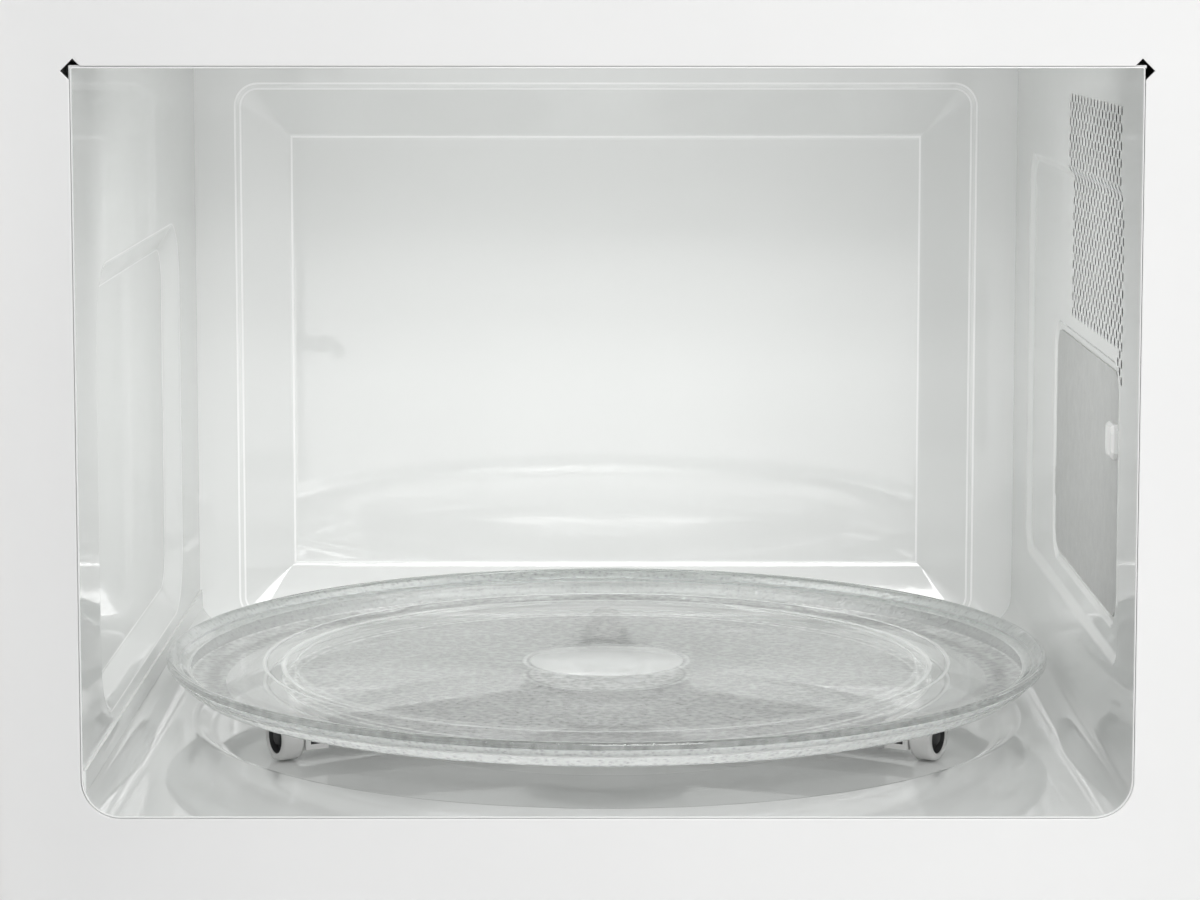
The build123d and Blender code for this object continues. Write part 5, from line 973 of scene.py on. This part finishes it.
axle_head, arm_end = 110.8, 97.5
for polygon in support.data.polygons:
    reach = (polygon.center / MM - Vector((*AXIS, polygon.center.z / MM))).length
    # Pockets and axle heads take the near-black: painted shade
    if polygon.index in pocket_faces or reach > axle_head:
        polygon.material_index = 1
    # Faces of the arms take the darker grey: painted shade under the tray
    elif reach < arm_end:
        polygon.material_index = 2


# Door screen, latch spring, display and dial
def box_of(node):
    """Low and high corners of a CAD node, in mm."""
    spots = [nodes[node].matrix_world @ Vector(c) / MM for c in nodes[node].bound_box]
    return [min(p[k] for p in spots) for k in range(3)], [max(p[k] for p in spots) for k in range(3)]


# Perforated screen of the door: round holes in rows, and a plain margin
(x0, y0, z0), (x1, y1, z1) = box_of("door_screen")
screen = Sheet(lambda u, v, d: (x0 + d, u, v))
hole_pitch, hole_radius, row_share, margin = 4.4, 1.5, 0.866, 11
hole_turns = [radians(60 * i) for i in range(6)]
holes = []
rows = int((z1 - z0 - 2 * margin) / (hole_pitch * row_share))
columns = int((y1 - y0 - 2 * margin) / hole_pitch)
for row in range(rows + 1):
    v = (z0 + z1) / 2 + (row - rows / 2) * hole_pitch * row_share
    for column in range(columns + 1 - row % 2):
        u = (y0 + y1) / 2 + (column - columns / 2 + (row % 2) / 2) * hole_pitch
        holes.append([(u + hole_radius * cos(t), v + hole_radius * sin(t)) for t in hole_turns])
outline = [(y0, z0), (y1, z0), (y1, z1), (y0, z1)]
screen.pressed_field(outline, [], holes, hole_radius * cos(pi / 6), 1.0, [])
slot = row_slots["door_screen"]
screen.finish("perforated_screen", slot, "door", ["door_screen"], (-1, 0, 0), x1 - x0)

# Latch spring: a wound wire, held at its upper end; the latch bar lifts its lower end, and the coil here
# keeps one length
(x0, y0, z0), (x1, y1, z1) = box_of("latch_spring")
spring_turns, turn_steps, wire_sides, wire_radius = 5, 24, 8, 0.4
coil_radius = (x1 - x0) / 2 - wire_radius
spring_steps = spring_turns * turn_steps
spring_rise = (z1 - z0 - 2 * wire_radius) / spring_steps
spring_foot = Vector(((x0 + x1) / 2, (y0 + y1) / 2, z0 + wire_radius))
verts = []
for step in range(spring_steps + 1):
    turn = 2 * pi * step / turn_steps
    out = Vector((cos(turn), sin(turn), 0))
    ahead = Vector((-sin(turn), cos(turn), spring_rise * turn_steps / (2 * pi * coil_radius))).normalized()
    across = ahead.cross(out)
    middle = spring_foot + out * coil_radius + Vector((0, 0, spring_rise * step))
    for k in range(wire_sides):
        a = 2 * pi * k / wire_sides
        verts.append(tuple(middle + (out * cos(a) + across * sin(a)) * wire_radius))
faces = quads(0, spring_steps + 1, wire_sides)
faces.append(tuple(range(wire_sides)))
faces.append(tuple(spring_steps * wire_sides + k for k in range(wire_sides)))
spring = make("latch_coil", verts, faces, row_slots["latch_spring"], "door", ["latch_spring"])
outward(spring)
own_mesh(spring)

# Clock digits: plain seven-segment numbers, a hair in front of the display window's face
(x0, y0, z0), (x1, y1, z1) = box_of("display_window")
middle_x, middle_z = (x0 + x1) / 2, (z0 + z1) / 2
SEGMENTS = {"0": "abcdef", "1": "bc", "2": "abged"}
DIGIT_WIDE, DIGIT_HALF, STROKE_HALF, SLANT, FACE_GAP = 9, 8, 0.85, 0.06, 0.06
UPRIGHT_HALF, LEVEL_HALF, DOT_HALF, DOT_RISE = 3.6, 4.0, 1.0, 3
verts, faces = [], []


def segment(cx, cz, half, upright):
    """One lit bar about its middle, pointed at both ends and slanted with its height."""
    start = len(verts)
    body = half - STROKE_HALF
    shape = [(-half, 0), (-body, STROKE_HALF), (body, STROKE_HALF), (half, 0), (body, -STROKE_HALF),
             (-body, -STROKE_HALF)]
    for a, b in shape:
        across, up = (b, a) if upright else (a, b)
        verts.append((cx + across + (cz + up - z0) * SLANT, y0 - FACE_GAP, cz + up))
    faces.append(tuple(start + k for k in (range(6) if upright else reversed(range(6)))))


def segments(left):
    """Middle and direction of each segment of a digit that stands at a left edge."""
    middle, right = left + DIGIT_WIDE / 2, left + DIGIT_WIDE
    places = {"g": (middle, middle_z, False)}
    for level, centre, sign in (("a", "bf", 1), ("d", "ce", -1)):
        places[level] = (middle, middle_z + sign * DIGIT_HALF, False)
        for name, x in zip(centre, (right, left)):
            places[name] = (x, middle_z + sign * DIGIT_HALF / 2, True)
    return places


for digit, shift in zip("1200", (-26, -13.5, 4, 16.5)):
    places = segments(middle_x + shift)
    for name in SEGMENTS[digit]:
        cx, cz, upright = places[name]
        segment(cx, cz, UPRIGHT_HALF if upright else LEVEL_HALF, upright)
for cz in (middle_z - DOT_RISE, middle_z + DOT_RISE):
    segment(middle_x - 0.2, cz, DOT_HALF, True)
digit_light = Nodes("digit_light")
digit_light.colour(digit_light.noise(600, 3), 0.3, 0.7, (0.62, 0.80, 0.86), (0.70, 0.88, 0.93))
digit_light.rough(digit_light.noise(900, 2), 0.3, 0.5)
digits = make("display_digits", verts, faces, row_slots["display_window"], "casing", smooth=False,
              extra=[digit_light.material])
for polygon in digits.data.polygons:
    polygon.material_index = 1

# Dial: a fluted grip with a rounded front edge, a dished face and a pointer bar
(x0, y0, z0), (x1, y1, z1) = box_of("dial_knob")
dial_x, dial_z = (x0 + x1) / 2, (z0 + z1) / 2
dial_sides, flutes, grip_depth = 240, 30, 20.0
grip_back = y0 + grip_depth
skirt = [(0.0, 20.6, 0), (0.0, 21.6, 0), (0.6, 21.95, 0), (2.2, 21.95, 0), (2.8, 21.4, 0),
         (3.2, 20.9, 0.0), (4.2, 20.9, 0.9)]
face = [(3.0, 20.4, 0.9), (1.2, 20.0, 0.5), (0.35, 19.2, 0.1), (0.0, 18.2, 0), (0.15, 17.6, 0),
        (0.9, 16.0, 0), (1.3, 10.0, 0), (1.4, 0.01, 0)]
rings = [(grip_back - y, radius, flute) for y, radius, flute in skirt]
rings += [(y0 + y, radius, flute) for y, radius, flute in face]
verts = []
for y, radius, flute in rings:
    for i in range(dial_sides):
        a = 2 * pi * i / dial_sides
        r = radius - flute * (0.5 + 0.5 * cos(flutes * a)) ** 2
        verts.append((dial_x + r * cos(a), y, dial_z + r * sin(a)))
faces = quads(0, len(rings), dial_sides)
faces.append(tuple(range(dial_sides)))
start = len(verts)
pointer = len(faces)
bar_half, bar_near, bar_far = 0.8, 7.5, 15.8
bar = [(-bar_half, bar_near), (bar_half, bar_near), (bar_half, bar_far), (-bar_half, bar_far)]
for y in (y0 + 1.6, y0 + 0.25):
    verts += [(dial_x + across, y, dial_z + up) for across, up in bar]
faces += [tuple(range(start, start + 4)), tuple(range(start + 4, start + 8))]
faces += quads(start, 2, 4)
dial = make("dial_grip", verts, faces, row_slots["dial_knob"], "dial", ["dial_knob"], extra=[recess_shade])
outward(dial)
for polygon in dial.data.polygons:
    if polygon.index >= pointer:
        polygon.material_index = 1


# Stage, light and camera, in metres
def stage_material():
    m = Nodes("studio_floor")
    m.colour(m.noise(3, 3), 0.3, 0.7, (0.80, 0.80, 0.80), (0.83, 0.83, 0.83))
    m.rough(m.noise(40, 3), 0.5, 0.6)
    return m.material


reach = 6
floor_mesh = bpy.data.meshes.new("studio_floor")
floor_corners = [(-reach, -reach, 0), (reach, -reach, 0), (reach, reach, 0), (-reach, reach, 0)]
floor_mesh.from_pydata(floor_corners, [], [(0, 1, 2, 3)])
floor_object = bpy.data.objects.new("studio_floor", floor_mesh)
floor_mesh.materials.append(stage_material())
bpy.context.scene.collection.objects.link(floor_object)
floor_object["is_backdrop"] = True

world = bpy.data.worlds.new("studio")
bpy.context.scene.world = world
world.use_nodes = True
tree = world.node_tree
background = next(n for n in tree.nodes if n.type == "BACKGROUND")

# Camera rays, and rays by mirror or through glass, see a white studio. Its light on the object is weaker
rays = add_node(tree, "LightPath", {})
seen = rays.outputs["Is Camera Ray"]
for ray in ("Is Glossy Ray", "Is Transmission Ray"):
    seen = add_node(tree, "Math", {0: seen, 1: rays.outputs[ray]}, operation="MAXIMUM").outputs[0]
strength = add_node(tree, "MapRange", {"Value": seen, "To Min": 0.56, "To Max": 1.0})
feed(tree, background, {"Color": (1, 1, 1, 1), "Strength": strength.outputs["Result"]})


def area_light(name, place, target, size, power):
    lamp = bpy.data.lights.new(name, "AREA")
    lamp.shape = "RECTANGLE"
    lamp.size, lamp.size_y = size
    lamp.energy = power
    made = bpy.data.objects.new(name, lamp)
    made.location = place
    made.rotation_euler = (Vector(target) - Vector(place)).to_track_quat("-Z", "Y").to_euler()
    bpy.context.scene.collection.objects.link(made)
    return made


cavity_middle = (-0.07, 0.15, 0.2)
area_light("key", (0.35, -2.3, 1.25), cavity_middle, (1.3, 1.2), 25)
area_light("strip", (-0.07, -1.9, 1.0), cavity_middle, (0.9, 0.14), 4.5)
area_light("top", (0.3, 0.2, 2.6), (0, 0, 0.2), (2.5, 2.5), 14)

# A lamp just inside the opening lights the cavity, unseen and not mirrored
inner = area_light("cavity_light", (-0.07, 0.004, 0.228), (-0.07, 0.3, 0.205), (0.17, 0.09), 0.205)
inner.data.spread = radians(152)
inner.visible_camera = inner.visible_glossy = inner.visible_transmission = False

pitch_down = 6.067
camera = bpy.data.cameras.new("camera")
camera_object = bpy.data.objects.new("camera", camera)
bpy.context.scene.collection.objects.link(camera_object)
camera.sensor_width = 36.0
camera.lens = 101.54
camera.shift_y = -0.10
camera.clip_start, camera.clip_end = 0.05, 60
camera_object.location = (-0.0720, -0.9012, 0.3129)
camera_object.rotation_euler = (radians(90 - pitch_down), 0, 0)
bpy.context.scene.camera = camera_object
bpy.context.scene.view_settings.view_transform = "Standard"

low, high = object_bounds()
